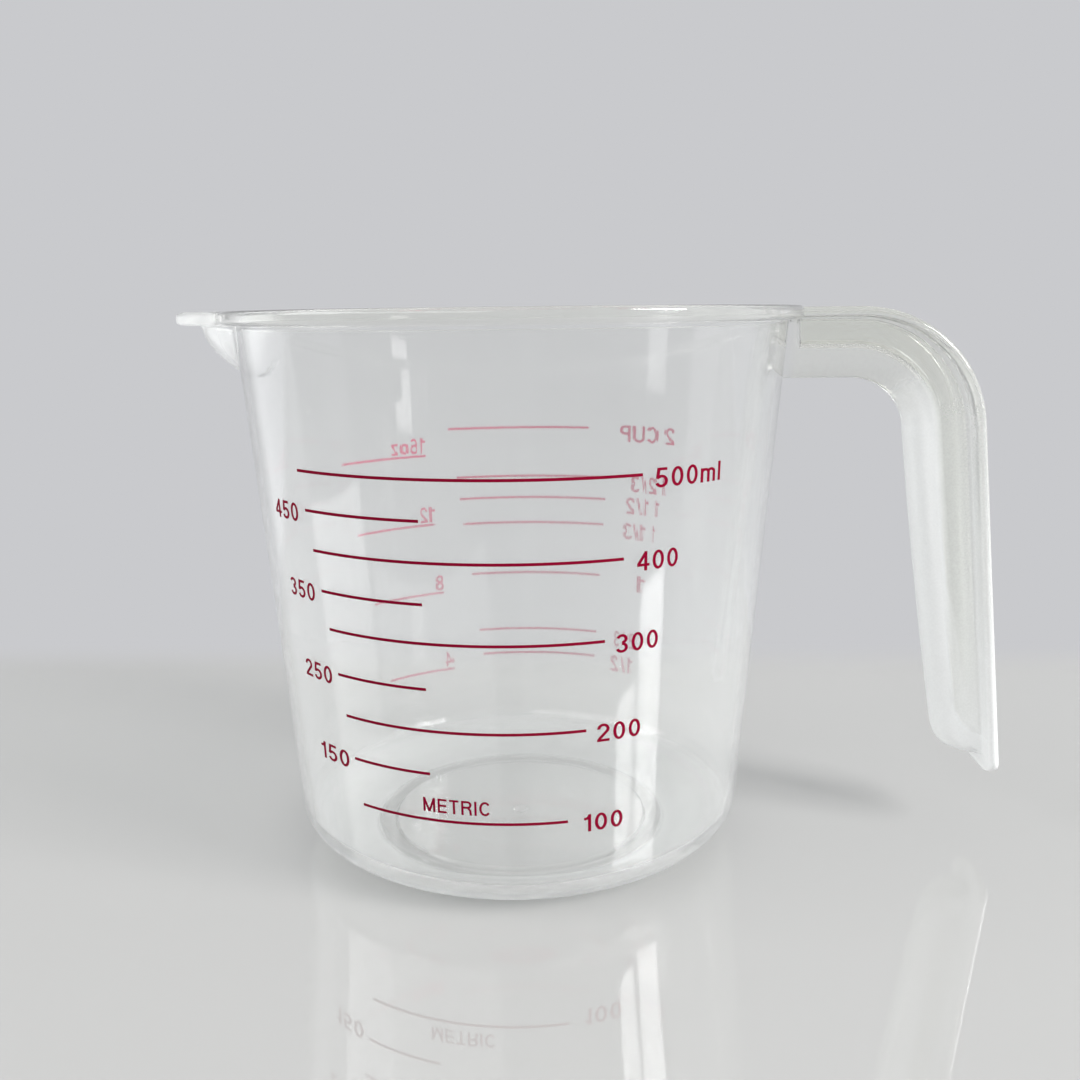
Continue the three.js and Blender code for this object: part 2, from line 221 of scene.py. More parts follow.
class GeometryTree(NodeSheet):
    """A Geometry Nodes tree with named inputs, whose result becomes a plain mesh."""

    def __init__(self, name: str, counts: Sequence[str], measures: Sequence[str]) -> None:
        """Starts the tree, which always takes a geometry and a material.

        Args:
            name: the tree's name.
            counts: names of its other inputs that are whole numbers.
            measures: names of its other inputs that are measures.
        """
        super().__init__(bpy.data.node_groups.new(name, "GeometryNodeTree"))
        kinds = {"Geometry": "NodeSocketGeometry", "Material": "NodeSocketMaterial"}
        kinds |= dict.fromkeys(counts, "NodeSocketInt") | dict.fromkeys(measures, "NodeSocketFloat")
        face = self.tree.interface
        face.new_socket("Geometry", in_out="OUTPUT", socket_type="NodeSocketGeometry")
        self.keys = {}
        for title, kind in kinds.items():
            self.keys[title] = face.new_socket(title, in_out="INPUT", socket_type=kind).identifier

    def given(self, title: str = "Geometry") -> Wire:
        """One of the tree's inputs."""
        return self.add("NodeGroupInput", None, None, title)

    def stored(self, name: str, kind: str) -> Wire:
        """What is stored on the geometry under a name."""
        return self.add("GeometryNodeInputNamedAttribute", {"data_type": kind}, {"Name": name}, "Attribute")

    def keep(self, geometry: Wire, name: str, value: Wire) -> Wire:
        """Stores a vector on a geometry's points.

        Args:
            geometry: what it is stored on.
            name: what it is stored under.
            value: the vector.

        Returns:
            The geometry that holds it.
        """
        sockets = {"Geometry": geometry, "Name": name, "Value": value}
        settings = {"data_type": "FLOAT_VECTOR", "domain": "POINT"}
        return self.add("GeometryNodeStoreNamedAttribute", settings, sockets)

    def turned(self, radius: Wire, angle: Wire, height: Wire) -> Wire:
        """Place at an angle round the axis, from -Y towards +X."""
        sockets = {"X": radius * angle.sine(), "Y": radius * angle.cosine() * -1.0, "Z": height}
        return self.add("ShaderNodeCombineXYZ", None, sockets)

    def moved(self, geometry: Wire, place: Wire) -> Wire:
        """Geometry with its points at new places."""
        return self.add("GeometryNodeSetPosition", None, {"Geometry": geometry, "Position": place})

    def welded(self, geometry: Wire) -> Wire:
        """Geometry whose points are one where they meet."""
        return self.add("GeometryNodeMergeByDistance", None, {"Geometry": geometry, "Distance": WELD})

    def close(self, geometry: Wire) -> None:
        """Ends the tree with real geometry that wears the material.

        Args:
            geometry: what the tree gives.
        """
        real = self.add("GeometryNodeRealizeInstances", None, {"Geometry": geometry})
        dress = {"Geometry": real, "Material": self.given("Material")}
        worn = self.add("GeometryNodeSetMaterial", None, dress)
        self.add("NodeGroupOutput", None, {"Geometry": worn})

    def attach(self, piece: bpy.types.Object, values: dict[str, Any]) -> None:
        """Puts the tree on a piece.

        Args:
            piece: what it works on.
            values: values of the tree's inputs, by name.
        """
        modifier = piece.modifiers.new(self.tree.name, "NODES")
        modifier.node_group = self.tree
        for title, value in values.items():
            modifier[self.keys[title]] = value


def fresh_sheet(owner: bpy.types.Material | bpy.types.World) -> NodeSheet:
    """Empties the nodes of a material or world.

    Args:
        owner: the material or world.

    Returns:
        The sheet for its new nodes.
    """
    owner.use_nodes = True
    owner.node_tree.nodes.clear()
    return NodeSheet(owner.node_tree)


def clamp(value: float) -> float:
    """Value kept between 0 and 1."""
    return min(max(value, 0.0), 1.0)


def arc(centre: Point2, radii: Point2, start: float, end: float, steps: int) -> list[Point2]:
    """Points of an elliptical arc between two angles in degrees."""
    angles = np.radians(np.linspace(start, end, steps + 1))
    return [(centre[0] + radii[0] * math.cos(a), centre[1] + radii[1] * math.sin(a)) for a in angles]


def new_object(name: str, data: bpy.types.ID) -> bpy.types.Object:
    """Puts something in the scene, at the origin.

    Args:
        name: of the object.
        data: its mesh, lamp or camera.

    Returns:
        The object.
    """
    made = bpy.data.objects.new(name, data)
    bpy.context.scene.collection.objects.link(made)
    return made


def mesh_of(
    name: str, points: Iterable[Sequence[float]], edges: Sequence[Face] = (), faces: Sequence[Face] = ()
) -> bpy.types.Mesh:
    """Makes a mesh.

    Args:
        name: of the mesh.
        points: its corners, in metres.
        edges: pairs of corners.
        faces: rings of corners.

    Returns:
        The mesh.
    """
    mesh = bpy.data.meshes.new(name)
    mesh.from_pydata([tuple(map(float, point)) for point in points], edges, faces)
    mesh.update()
    return mesh


def settle(piece: bpy.types.Object) -> None:
    """Turns a piece's modifiers into its plain mesh.

    Args:
        piece: what wears them.
    """
    bpy.context.view_layer.update()
    graph = bpy.context.evaluated_depsgraph_get()
    made = bpy.data.meshes.new_from_object(piece.evaluated_get(graph), depsgraph=graph)
    piece.modifiers.clear()
    old = piece.data
    piece.data = made
    made.name = piece.name
    bpy.data.meshes.remove(old)


def store(mesh: bpy.types.Mesh, name: str, values: Sequence[float]) -> None:
    """Keeps one value for each of a mesh's corners under a name that its material reads."""
    mesh.attributes.new(name, "FLOAT", "POINT").data.foreach_set("value", values)


def enclosed_volume(mesh: bpy.types.Mesh) -> float:
    """Measures the space inside a closed mesh.

    Args:
        mesh: the mesh.

    Returns:
        Its volume, negative where its faces point inwards.
    """
    mesh.calc_loop_triangles()
    corners = np.empty(len(mesh.vertices) * 3)
    mesh.vertices.foreach_get("co", corners)
    index = np.empty(len(mesh.loop_triangles) * 3, dtype=np.int64)
    mesh.loop_triangles.foreach_get("vertices", index)
    a, b, c = corners.reshape(-1, 3)[index.reshape(-1, 3)].transpose(1, 0, 2)
    return float(np.einsum("ij,ij->i", a, np.cross(b, c)).sum() / 6)


def face_outwards(mesh: bpy.types.Mesh) -> None:
    """Turns a closed mesh's faces round if they point inwards."""
    if enclosed_volume(mesh) < 0:
        mesh.flip_normals()


def shade(mesh: bpy.types.Mesh, crease: float) -> None:
    """Shades a mesh smooth, apart from edges sharper than an angle in degrees."""
    mesh.shade_smooth()
    mesh.set_sharp_from_angle(angle=math.radians(crease))


@dataclass(frozen=True)
class JugFrame:
    """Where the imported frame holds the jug, in metres.

    Attributes:
        lip_tip: reach of the lip's tip from the cup's axis, in millimetres.
    """

    lip_tip: float = 64.5

    @property
    def axis_x(self) -> float:
        """Place of the cup's axis along X."""
        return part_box("jug_body")[0][0] + self.lip_tip * MM

    def seat(self, mesh: bpy.types.Mesh) -> None:
        """Moves a mesh that was made round its own axis to the cup's axis."""
        mesh.transform(Matrix.Translation((self.axis_x, 0.0, 0.0)))


@dataclass(frozen=True)
class HazeZones:
    """Where the moulding is clearer or milkier, in metres of the frame.

    Attributes:
        foot: height below which the thick corner's haze begins.
        floor: distances from the axis between which the clear floor turns into the corner.
        axis: X of the cup's axis.
        handle: X where the handle begins and where its haze is full.
        lip: X where the thick lip begins and where its haze is full.
        rim: heights between which the wall thickens into the flange.
        clear_above: height above which the wall is clearest.
        milky_below: height below which the wall is fully hazy.
    """

    foot: float
    floor: Point2
    axis: float
    handle: Point2
    lip: Point2
    rim: Point2
    clear_above: float = 95.0 * MM
    milky_below: float = 30.0 * MM


@dataclass(frozen=True)
class ClearPlastic:
    """Natural polypropylene: clear with a milky haze, glossy, with drawing streaks up the wall.

    Attributes:
        tint: colour of what goes straight through.
        thick_tint: the same through the handle and flange, which are thicker.
        milk: colour of what the haze scatters.
        clear_haze: share of the light that a surface scatters near the rim.
        haze: the same low on the wall.
        cloud: how much more it scatters where the melt was cooler.
        rim_haze: how much more the flange scatters.
        foot_haze: how much more the thick corner above the table scatters.
        lip_haze: how much more the lip's rim scatters.
        beak_share: share of the lip's haze that its beak has below the rim.
        speckle: how much the handle's haze varies from grain to grain.
        passing: share of the scattered light that goes on through.
        thick_passing: the same on the handle.
        ior: refractive index.
        gloss: least roughness.
        satin: most roughness.
        cloud_scale: fineness of the clouds.
        cloud_detail: how many finer layers they have.
        streak_scale: fineness of the drawing streaks round the wall and up it.
        streak_detail: how many finer layers they have.
        grain_scale: fineness of the handle's grain.
        grain_detail: how many finer layers it has.
        pebbles: height of the handle's fine grain over that of the wall's streaks.
        relief: strength of the streaks and the grain.
        relief_depth: their depth, in metres.
        film: what a surface lets through to light what is behind it.
        thick_film: the same on the handle and low on the corner.
    """

    tint: Colour = (0.978, 0.981, 0.973)
    thick_tint: Colour = (0.935, 0.94, 0.9)
    milk: Colour = (0.97, 0.98, 0.975)
    clear_haze: float = 0.02
    haze: float = 0.11
    cloud: float = 0.05
    rim_haze: float = 0.06
    foot_haze: float = 0.6
    lip_haze: float = 0.5
    beak_share: float = 0.4
    speckle: float = 0.1
    passing: float = 0.5
    thick_passing: float = 0.2
    ior: float = 1.49
    gloss: float = 0.02
    satin: float = 0.06
    cloud_scale: float = 60.0
    cloud_detail: float = 4.0
    streak_scale: tuple[float, float, float] = (900.0, 900.0, 14.0)
    streak_detail: float = 2.0
    grain_scale: float = 2600.0
    grain_detail: float = 1.0
    pebbles: float = 0.6
    relief: float = 0.03
    relief_depth: float = 0.0002
    film: Colour = (0.92, 0.925, 0.925)
    thick_film: Colour = (0.7, 0.705, 0.705)

    def material(self, zones: HazeZones) -> bpy.types.Material:
        """Makes the material.

        Args:
            zones: where the moulding is clearer or milkier.

        Returns:
            The material.
        """
        made = bpy.data.materials.new("clear_plastic")
        sheet = fresh_sheet(made)
        place = sheet.add("ShaderNodeTexCoord", None, None, "Object")
        along, aside, height = sheet.split(place, "XYZ")
        radius = ((along - zones.axis) ** 2.0 + aside**2.0) ** 0.5
        handle = sheet.ramp(along, *zones.handle)
        outer = sheet.ramp(radius, *zones.floor)
        low = sheet.ramp(height, zones.foot, 0.0) * outer
        rim = sheet.ramp(height, *zones.rim)
        clouds = sheet.noise(place, self.cloud_scale, self.cloud_detail)
        grain = sheet.noise(place, self.grain_scale, self.grain_detail)
        drawn = sheet.add("ShaderNodeMapping", None, {"Vector": place, "Scale": self.streak_scale})
        streaks = sheet.noise(drawn, 1.0, self.streak_detail)
        rise = {"Strength": self.relief, "Distance": self.relief_depth}
        bump = sheet.add("ShaderNodeBump", None, {**rise, "Height": streaks + self.pebbles * handle * grain})
        rough = self.gloss + (self.satin - self.gloss) * clouds
        skin = {"Roughness": rough, "IOR": self.ior, "Normal": bump}
        tint = sheet.blend((handle + rim).least(1.0), self.tint, self.thick_tint)
        clear = sheet.add(PRINCIPLED, None, {"Base Color": tint, "Transmission Weight": 1.0, **skin})
        thrown = sheet.add(PRINCIPLED, None, {"Base Color": self.milk, **skin})
        passed = sheet.add("ShaderNodeBsdfTranslucent", None, {"Color": self.milk, "Normal": bump})
        milky = sheet.layer(self.passing + (self.thick_passing - self.passing) * handle, thrown, passed)

        down = sheet.ramp(height, zones.clear_above, zones.milky_below)
        lip = sheet.ramp(along, *zones.lip)
        white = sheet.add("ShaderNodeAttribute", {"attribute_name": MILK}, None, "Fac")
        share = self.clear_haze + (self.haze - self.clear_haze) * down * outer + self.cloud * clouds
        share = share + self.rim_haze * rim + self.foot_haze * low
        share = share + self.lip_haze * lip * (self.beak_share + (1 - self.beak_share) * rim)
        share = share * (1.0 - handle) + white + self.speckle * handle * (grain - 0.5)
        plastic = sheet.layer(share, clear, milky)

        thin = sheet.add("ShaderNodeBsdfTransparent", None, {"Color": self.film})
        thick = sheet.add("ShaderNodeBsdfTransparent", None, {"Color": self.thick_film})
        film = sheet.layer((handle + low).least(1.0), thin, thick)
        lamp_ray = sheet.add("ShaderNodeLightPath", None, None, "Is Shadow Ray")
        soft_ray = sheet.add("ShaderNodeLightPath", None, None, "Is Diffuse Ray")
        surface = sheet.layer((lamp_ray + soft_ray).least(1.0), plastic, film)
        sheet.add("ShaderNodeOutputMaterial", None, {"Surface": surface})
        return made


@dataclass(frozen=True)
class PrintInk:
    """Dark red printing ink, a little uneven.

    Attributes:
        name: of the material.
        deep: colour where the film is full.
        thin: colour where it is thin.
        roughness: of the film.
        uneven: how much rougher it is where it is thin.
        shine: specular level.
        grain_scale: fineness of its grain.
        grain_detail: how many finer layers the grain has.
    """

    name: str
    deep: Colour = (0.17, 0.0005, 0.014)
    thin: Colour = (0.23, 0.001, 0.024)
    roughness: float = 0.45
    uneven: float = 0.15
    shine: float = 0.03
    grain_scale: float = 2200.0
    grain_detail: float = 3.0

    def material(self) -> bpy.types.Material:
        """Makes the material.

        Returns:
            The material.
        """
        made = bpy.data.materials.new(self.name)
        sheet = fresh_sheet(made)
        place = sheet.add("ShaderNodeTexCoord", None, None, "Object")
        grain = sheet.noise(place, self.grain_scale, self.grain_detail)
        film = {
            "Base Color": sheet.blend(grain, self.deep, self.thin),
            "Roughness": self.roughness + self.uneven * grain,
            "Specular IOR Level": self.shine,
        }
        surface = sheet.add(PRINCIPLED, None, film)
        sheet.add("ShaderNodeOutputMaterial", None, {"Surface": surface})
        return made


@dataclass(frozen=True)
class Wall:
    """The cup's leaning wall, which the printing lies on.

    Attributes:
        height: of the whole jug.
        base_radius: outside of the wall, carried down to the table.
        top_radius: outside of the wall, carried up to the rim.
        thickness: of the wall.
    """

    height: float = 103.5
    base_radius: float = 43.05
    top_radius: float = 51.75
    thickness: float = 1.2

    @property
    def slope(self) -> float:
        """Growth of the radius for each unit of height."""
        return (self.top_radius - self.base_radius) / self.height

    def outside(self, height: float) -> float:
        """Outer radius at a height."""
        return self.base_radius + self.slope * height

    def inside(self, height: float) -> float:
        """Inner radius at a height."""
        return self.outside(height) - self.thickness


@dataclass
class Cup:
    """Cup, floor, rim flange and pouring lip, turned from one section and pulled out into a beak.

    Attributes:
        corner_height: where the round corner meets the outside of the wall.
        corner_floor: height of the trough between the raised floor and the corner.
        foot_radius: outside of the foot ring.
        recess: depth of the hollow under the floor.
        floor_overlap: how far the raised floor reaches past the foot ring.
        floor_step_width: width of the step from the raised floor down to the trough.
        gate_height: how far the gate mark stands down into the recess.
        inner_round: radius of the rim's inner edge.
        flange_fillet: hollow radius under the flange.
        lip_half_angle: half of the angle that the lip takes up of the rim, in degrees.
        lip_depth: how far below the flange the beak starts.
        lip_reach: how far the wall is pulled out at its top.
        lip_flange_reach: the same for the flange's outer edge.
    """

    wall: Wall
    corner_height: float = 8.3
    corner_floor: float = 1.35
    foot_radius: float = 28.0
    foot_width: float = 2.2
    foot_chamfer: float = 0.5
    recess: float = 0.9
    floor_thickness: float = 1.4
    floor_overlap: float = 0.4
    floor_step_width: float = 0.7
    floor_round: float = 0.3
    gate_radius: float = 1.5
    gate_height: float = 0.5
    flange_thickness: float = 2.5
    flange_width: float = 2.6
    flange_round: float = 0.9
    inner_round: float = 0.4
    flange_fillet: float = 0.5
    lip_half_angle: float = 21.0
    lip_depth: float = 10.0
    lip_reach: float = 8.0
    lip_flange_reach: float = 10.4
    segments: int = 240
    arc_steps: int = 6
    corner_steps: int = 28
    wall_steps: int = 24
    lip_steps: int = 20

    @property
    def underside(self) -> float:
        """Height of the flange's underside."""
        return self.wall.height - self.flange_thickness

    @property
    def flange_radius(self) -> float:
        """Outer radius of the flange."""
        return self.wall.outside(self.underside) + self.flange_width

    def _arc(self, centre: Point2, radius: float, start: float, end: float) -> list[Point2]:
        """Points of a round edge between two angles in degrees."""
        return arc(centre, (radius, radius), start, end, self.arc_steps)

    def _corner(
        self, foot: float, floor: float, top: float, radius_at: Callable[[float], float]
    ) -> list[Point2]:
        """Round corner from the floor up into the wall.

        Args:
            foot: radius at which it leaves the floor.
            floor: height of the floor there.
            top: height at which it meets the wall.
            radius_at: radius of the wall at a height.

        Returns:
            Its points, from the floor up.
        """
        points = []
        for angle in np.linspace(0.0, math.pi / 2, self.corner_steps + 1):
            height = floor + (top - floor) * (1 - math.cos(angle))
            points.append((foot + (radius_at(height) - foot) * math.sin(angle), height))
        return points

    def _climb(self, low: float, high: float) -> np.ndarray:
        """Heights up the wall, close together where the lip is pulled out.

        Args:
            low: height to start above.
            high: height to end at.

        Returns:
            The heights, lowest first.
        """
        start = self.underside - self.lip_depth
        below = np.linspace(low, start, self.wall_steps + 1)
        return np.concatenate([below[1:], np.linspace(start, high, self.lip_steps + 1)[1:]])

    def section(self) -> list[tuple[float, float, float]]:
        """Closed half section of the cup.

        Returns:
            Radius, height and the flange's own reach into the lip of each point, from the axis below round
            to the axis inside.
        """
        wall, top = self.wall, self.wall.height
        ring = self.foot_radius - self.foot_width
        gate = self.recess - self.gate_height
        soft = self.gate_height / 2
        below = [
            (0.0, gate),
            (self.gate_radius - soft, gate),
            (self.gate_radius, gate + soft),
            (self.gate_radius, self.recess),
            (ring - self.foot_chamfer, self.recess),
            (ring, 0.0),
        ]
        outside = self._corner(self.foot_radius, 0.0, self.corner_height, wall.outside)
        fillet = self.flange_fillet
        outside += [(wall.outside(z), z) for z in self._climb(self.corner_height, self.underside - fillet)]
        root = (wall.outside(self.underside) + fillet, self.underside - fillet)
        outside += self._arc(root, fillet, 180.0, 90.0)[1:]
        edge = self.flange_radius - self.flange_round
        flange = self._arc((edge, self.underside + self.flange_round), self.flange_round, -90.0, 0.0)
        flange += self._arc((edge, top - self.flange_round), self.flange_round, 0.0, 90.0)
        hollow = self.inner_round
        mouth = self._arc((wall.inside(top) + hollow, top - hollow), hollow, 90.0, 180.0)
        corner_top = self.corner_height + wall.thickness
        floor = self.recess + self.floor_thickness
        inside = [(wall.inside(z), z) for z in self._climb(corner_top, top - hollow)[-2::-1]]
        disc = self.foot_radius + self.floor_overlap
        trough = disc + self.floor_step_width
        inside += self._corner(trough, self.corner_floor, corner_top, wall.inside)[::-1]
        inside += self._arc((disc - self.floor_round, floor - self.floor_round), self.floor_round, 0.0, 90.0)
        spread = self.lip_flange_reach - self.lip_reach
        section = []
        for radius, height in [*below, *outside, *flange, *mouth, *inside, (0.0, floor)]:
            past = clamp((radius - wall.outside(height)) / self.flange_width)
            section.append((radius, height, spread * past))
        return section

    def tree(self) -> GeometryTree:
        """Draws the Geometry Nodes that turn a section round the axis and pull the lip out of it.

        Returns:
            The tree.
        """
        lip = ("Lip Azimuth", "Lip Half Angle", "Lip Top", "Lip Depth", "Lip Reach")
        made = GeometryTree("turned_shell_with_lip", ["Segments"], lip)
        section = made.given()
        count = made.add("GeometryNodeAttributeDomainSize", None, {"Geometry": section}, "Point Count")
        corners = {"Vertices X": made.given("Segments") + 1, "Vertices Y": count}
        grid = made.add("GeometryNodeMeshGrid", None, corners, "Mesh")
        index = made.add("GeometryNodeInputIndex")
        angle = (index / count).floor() * math.tau / made.given("Segments")
        position = made.add("GeometryNodeInputPosition")
        along = index % count
        point, pull = (
            made.add(
                "GeometryNodeSampleIndex",
                {"data_type": kind},
                {"Geometry": section, "Value": value, "Index": along},
            )
            for kind, value in (("FLOAT_VECTOR", position), ("FLOAT", made.stored("reach", "FLOAT")))
        )
        radius, height = made.split(point, "XZ")
        aside = (angle - made.given("Lip Azimuth")).wrap(math.pi, -math.pi).size()
        share = ((aside / made.given("Lip Half Angle")).least(1.0) * math.pi).cosine() * 0.5 + 0.5
        depth = made.given("Lip Depth") * share**0.5 + TINY
        below = ((made.given("Lip Top") - height) / depth).most(0.0).least(1.0)
        pulled = radius + (made.given("Lip Reach") * (1.0 - below * below) + pull) * share
        made.close(made.welded(made.moved(grid, made.turned(pulled, angle, height))))
        return made

    def build(self, material: bpy.types.Material) -> bpy.types.Object:
        """Makes the cup round its own axis.

        Args:
            material: what it is moulded in.

        Returns:
            The closed cup, with its faces outwards.
        """
        section = self.section()
        points = [(radius * MM, 0.0, height * MM) for radius, height, _ in section]
        edges = [(i, i + 1) for i in range(len(points) - 1)]
        piece = new_object("cup", mesh_of("cup", points, edges))
        store(piece.data, "reach", [pull * MM for _, _, pull in section])
        tree = self.tree()
        values = {
            "Segments": self.segments,
            "Lip Azimuth": -math.pi / 2,
            "Lip Half Angle": math.radians(self.lip_half_angle),
            "Lip Top": self.underside * MM,
            "Lip Depth": self.lip_depth * MM,
            "Lip Reach": self.lip_reach * MM,
            "Material": material,
        }
        tree.attach(piece, values)
        settle(piece)
        face_outwards(piece.data)
        return piece


@dataclass
class Handle:
    """Hook handle: a strap with a channel pressed into it, open outwards, that ends in a round tongue.

    Attributes:
        cup: what it grows out of.
        drop: depth of the strap's outer face below the rim.
        bend_reach: distance of the bend's centre from the cup's axis.
        bend_radius: of the bend's outer face.
        lean: how far the leg leans out towards its tip, in degrees.
        tip_height: of the tip above the table.
        strap_round: radius of the strap's edges.
        tip_round: length over which the tip gets thin.
        tip_least: share of the thickness that its end keeps.
        channel_draft: how much closer the channel's sides are at its bottom.
        channel_wall: thickness of its sides on the bridge.
        end_wall: the same low on the leg.
        floor: thickness of the roll under the channel on the bridge.
        end_floor: the same low on the leg.
        taper_power: how late down the leg the channel gets shallower.
        start_round: length over which the channel opens beside the rim.
        mouth_round: radius of the channel's outer edges.
        channel_fillet: hollow radius between strap and channel.
        bridge_depth: whole depth of the handle on the bridge.
        end_depth: the same low on the leg.
        end_round: length over which the channel closes.
        end_power: how squarely it closes.
        tongue: length of the plain strap below the channel.
        tongue_round: length over which the strap narrows to its tip.
        tongue_tip: width that is left there.
        channel_share: most of the strap's width that the channel takes up near the tip.
        solid_edge: depth over which clear plastic turns milky.
        clear_bend: share of the bend that stays clear.
        inside_milk: share of the light that the channel's inside scatters.
        bridge_milk: least that the outside scatters on the bridge.
        side_milk: the same down the leg.
        end_milk: most that it scatters.
        roll_milk: how far the roll is on the way to that where it begins.
        strap_power: how late down the leg the strap turns milky.
        side_power: the same for the sides.
        creep_from: share of the leg from which the roll's milk creeps over the sides.
        creep_milk: how far the sides then are on the way to the most.
        bite: how far the handle reaches into the cup's wall.
        closest: least distance between two places along the leg.
    """

    cup: Cup
    drop: float = 0.3
    bend_reach: float = 64.0
    bend_radius: float = 23.8
    lean: float = 5.8
    tip_height: float = 11.9
    strap_width: float = 17.0
    strap_thickness: float = 1.9
    strap_round: float = 0.9
    tip_round: float = 0.95
    tip_least: float = 0.1
    channel_width: float = 8.6
    channel_draft: float = 0.45
    channel_wall: float = 1.2
    end_wall: float = 2.9
    floor: float = 5.6
    end_floor: float = 3.6
    taper_power: float = 1.5
    start_round: float = 0.5
    start_steps: int = 8
    mouth_round: float = 0.45
    channel_fillet: float = 0.8
    bridge_depth: float = 13.3
    end_depth: float = 10.3
    end_round: float = 8.0
    end_power: float = 3.0
    tongue: float = 4.0
    tongue_round: float = 3.4
    tongue_tip: float = 0.8
    channel_share: float = 0.52
    solid_edge: float = 0.9
    clear_bend: float = 0.45
    inside_milk: float = 0.02
    bridge_milk: float = 0.1
    side_milk: float = 0.285
    end_milk: float = 0.95
    roll_milk: float = 0.75
    strap_power: float = 1.2
    side_power: float = 4.0
    creep_from: float = 0.35
    creep_milk: float = 0.4
    bite: float = 0.9
    bend_steps: int = 30
    leg_steps: int = 14
    end_steps: int = 16
    closest: float = 0.02
    side_steps: int = 8
    arc_steps: int = 4
    bottom_steps: int = 10

    def _path(self) -> tuple[list[tuple[np.ndarray, np.ndarray, float, float, float]], float]:
        """Places along the strap's outer face.

        Returns:
            For each place its point, the way out of the face, the length left to the tip, how far the
            channel is open there, and how far down the hook it is, from 0 on the bridge by 1 at the end of
            the bend to 2 at the tip; and the length of the leg.
        """
        top = self.cup.wall.height - self.drop
        lean = math.radians(self.lean)
        up = np.array((0.0, 1.0))
        rim = self.cup.flange_radius
        start = self.cup.wall.outside(top)
        stations = [(np.array((start, top)), up, math.inf, 0.0, 0.0)]
        for angle in np.linspace(0.0, math.pi / 2, self.start_steps + 1):
            reach = rim - self.start_round * math.cos(angle)
            stations.append((np.array((reach, top)), up, math.inf, math.sin(angle), 0.0))
        stations.append((np.array(((rim + self.bend_reach) / 2, top)), up, math.inf, 1.0, 0.0))
        centre = np.array((self.bend_reach, top - self.bend_radius))
        for angle in np.linspace(math.pi / 2, lean, self.bend_steps + 1):
            out = np.array((math.cos(angle), math.sin(angle)))
            bent = (math.pi / 2 - angle) / (math.pi / 2 - lean)
            stations.append((centre + out * self.bend_radius, out, math.inf, 1.0, bent))
        knee, out = stations[-1][:2]
        down = np.array((math.sin(lean), -math.cos(lean)))
        length = (knee[1] - self.tip_height) / math.cos(lean)
        end = self.tongue + self.end_round
        lefts = set(np.linspace(length, end + self.end_floor, self.leg_steps + 1)[1:])
        for angle in np.linspace(0.0, math.pi / 2, self.end_steps + 1):
            used = math.sin(angle)
            lefts.add(self.tongue + self.end_round * (1 - used))
            lefts.add(self.tongue + self.end_floor + self.end_round * (1 - used))
            lefts.add(self.tongue_round * (1 - used))
        kept = []
        for left in sorted(lefts, reverse=True):
            if not kept or kept[-1] - left > self.closest:
                kept.append(left)
        stations += [(knee + down * (length - left), out, left, 1.0, 2 - left / length) for left in kept]
        return stations, length

    @staticmethod
    def _fall(left: float, length: float, power: float = 2.0) -> float:
        """Round fall from 1 to 0 as a run of a length is used up, squarer with a higher power."""
        used = 1 - clamp(left / length)
        return (1 - used**power) ** (1 / power)

    def _side(self, start: Point2, end: Point2) -> list[Point2]:
        """Points between the ends of a straight side, so that what is stored on them can change along it."""
        shares = np.linspace(0.0, 1.0, self.side_steps + 1)[1:-1]
        return [(start[0] + (end[0] - start[0]) * s, start[1] + (end[1] - start[1]) * s) for s in shares]

    def _half_section(self, half_strap: float, depth: float, open_depth: float, wall: float) -> list[Point2]:
        """One half of the strap and its channel, as pairs of place across and depth, open side first.

        Args:
            half_strap: half the strap's width.
            depth: outer face to the bottom of the channel.
            open_depth: depth of the channel's inside.
            wall: thickness of the channel's sides.

        Returns:
            Points from the middle of the channel's inside round to the middle of its bottom.
        """
        thick = self.strap_thickness
        half = min(self.channel_width / 2, half_strap * self.channel_share)
        narrowing = half / (self.channel_width / 2)
        draft = self.channel_draft * narrowing
        half_open = half - wall * narrowing
        inner = half_open - draft
        outer = half - draft
        mouth = min(self.mouth_round, open_depth / 3)
        edge = min(self.strap_round, half_strap - half)
        fillet = min(self.channel_fillet, (depth - thick) / 3)
        inner_round = min(inner, open_depth - mouth)
        outer_round = min(outer, depth - thick - fillet)
        few, many = self.arc_steps, self.bottom_steps
        points = arc((0.0, open_depth - inner_round), (inner, inner_round), 90.0, 0.0, many)
        points += arc((half_open + mouth, mouth), (mouth, mouth), 180.0, 270.0, few)
        points += arc((half_strap - edge, edge), (edge, edge), 270.0, 360.0, few)
        points += arc((half_strap - edge, thick - edge), (edge, edge), 0.0, 90.0, few)
        points += arc((half + fillet, thick + fillet), (fillet, fillet), 270.0, 180.0, few)
        points += self._side((half, thick + fillet), (outer, depth - outer_round))
        points += arc((0.0, depth - outer_round), (outer, outer_round), 0.0, 90.0, many)
        return points

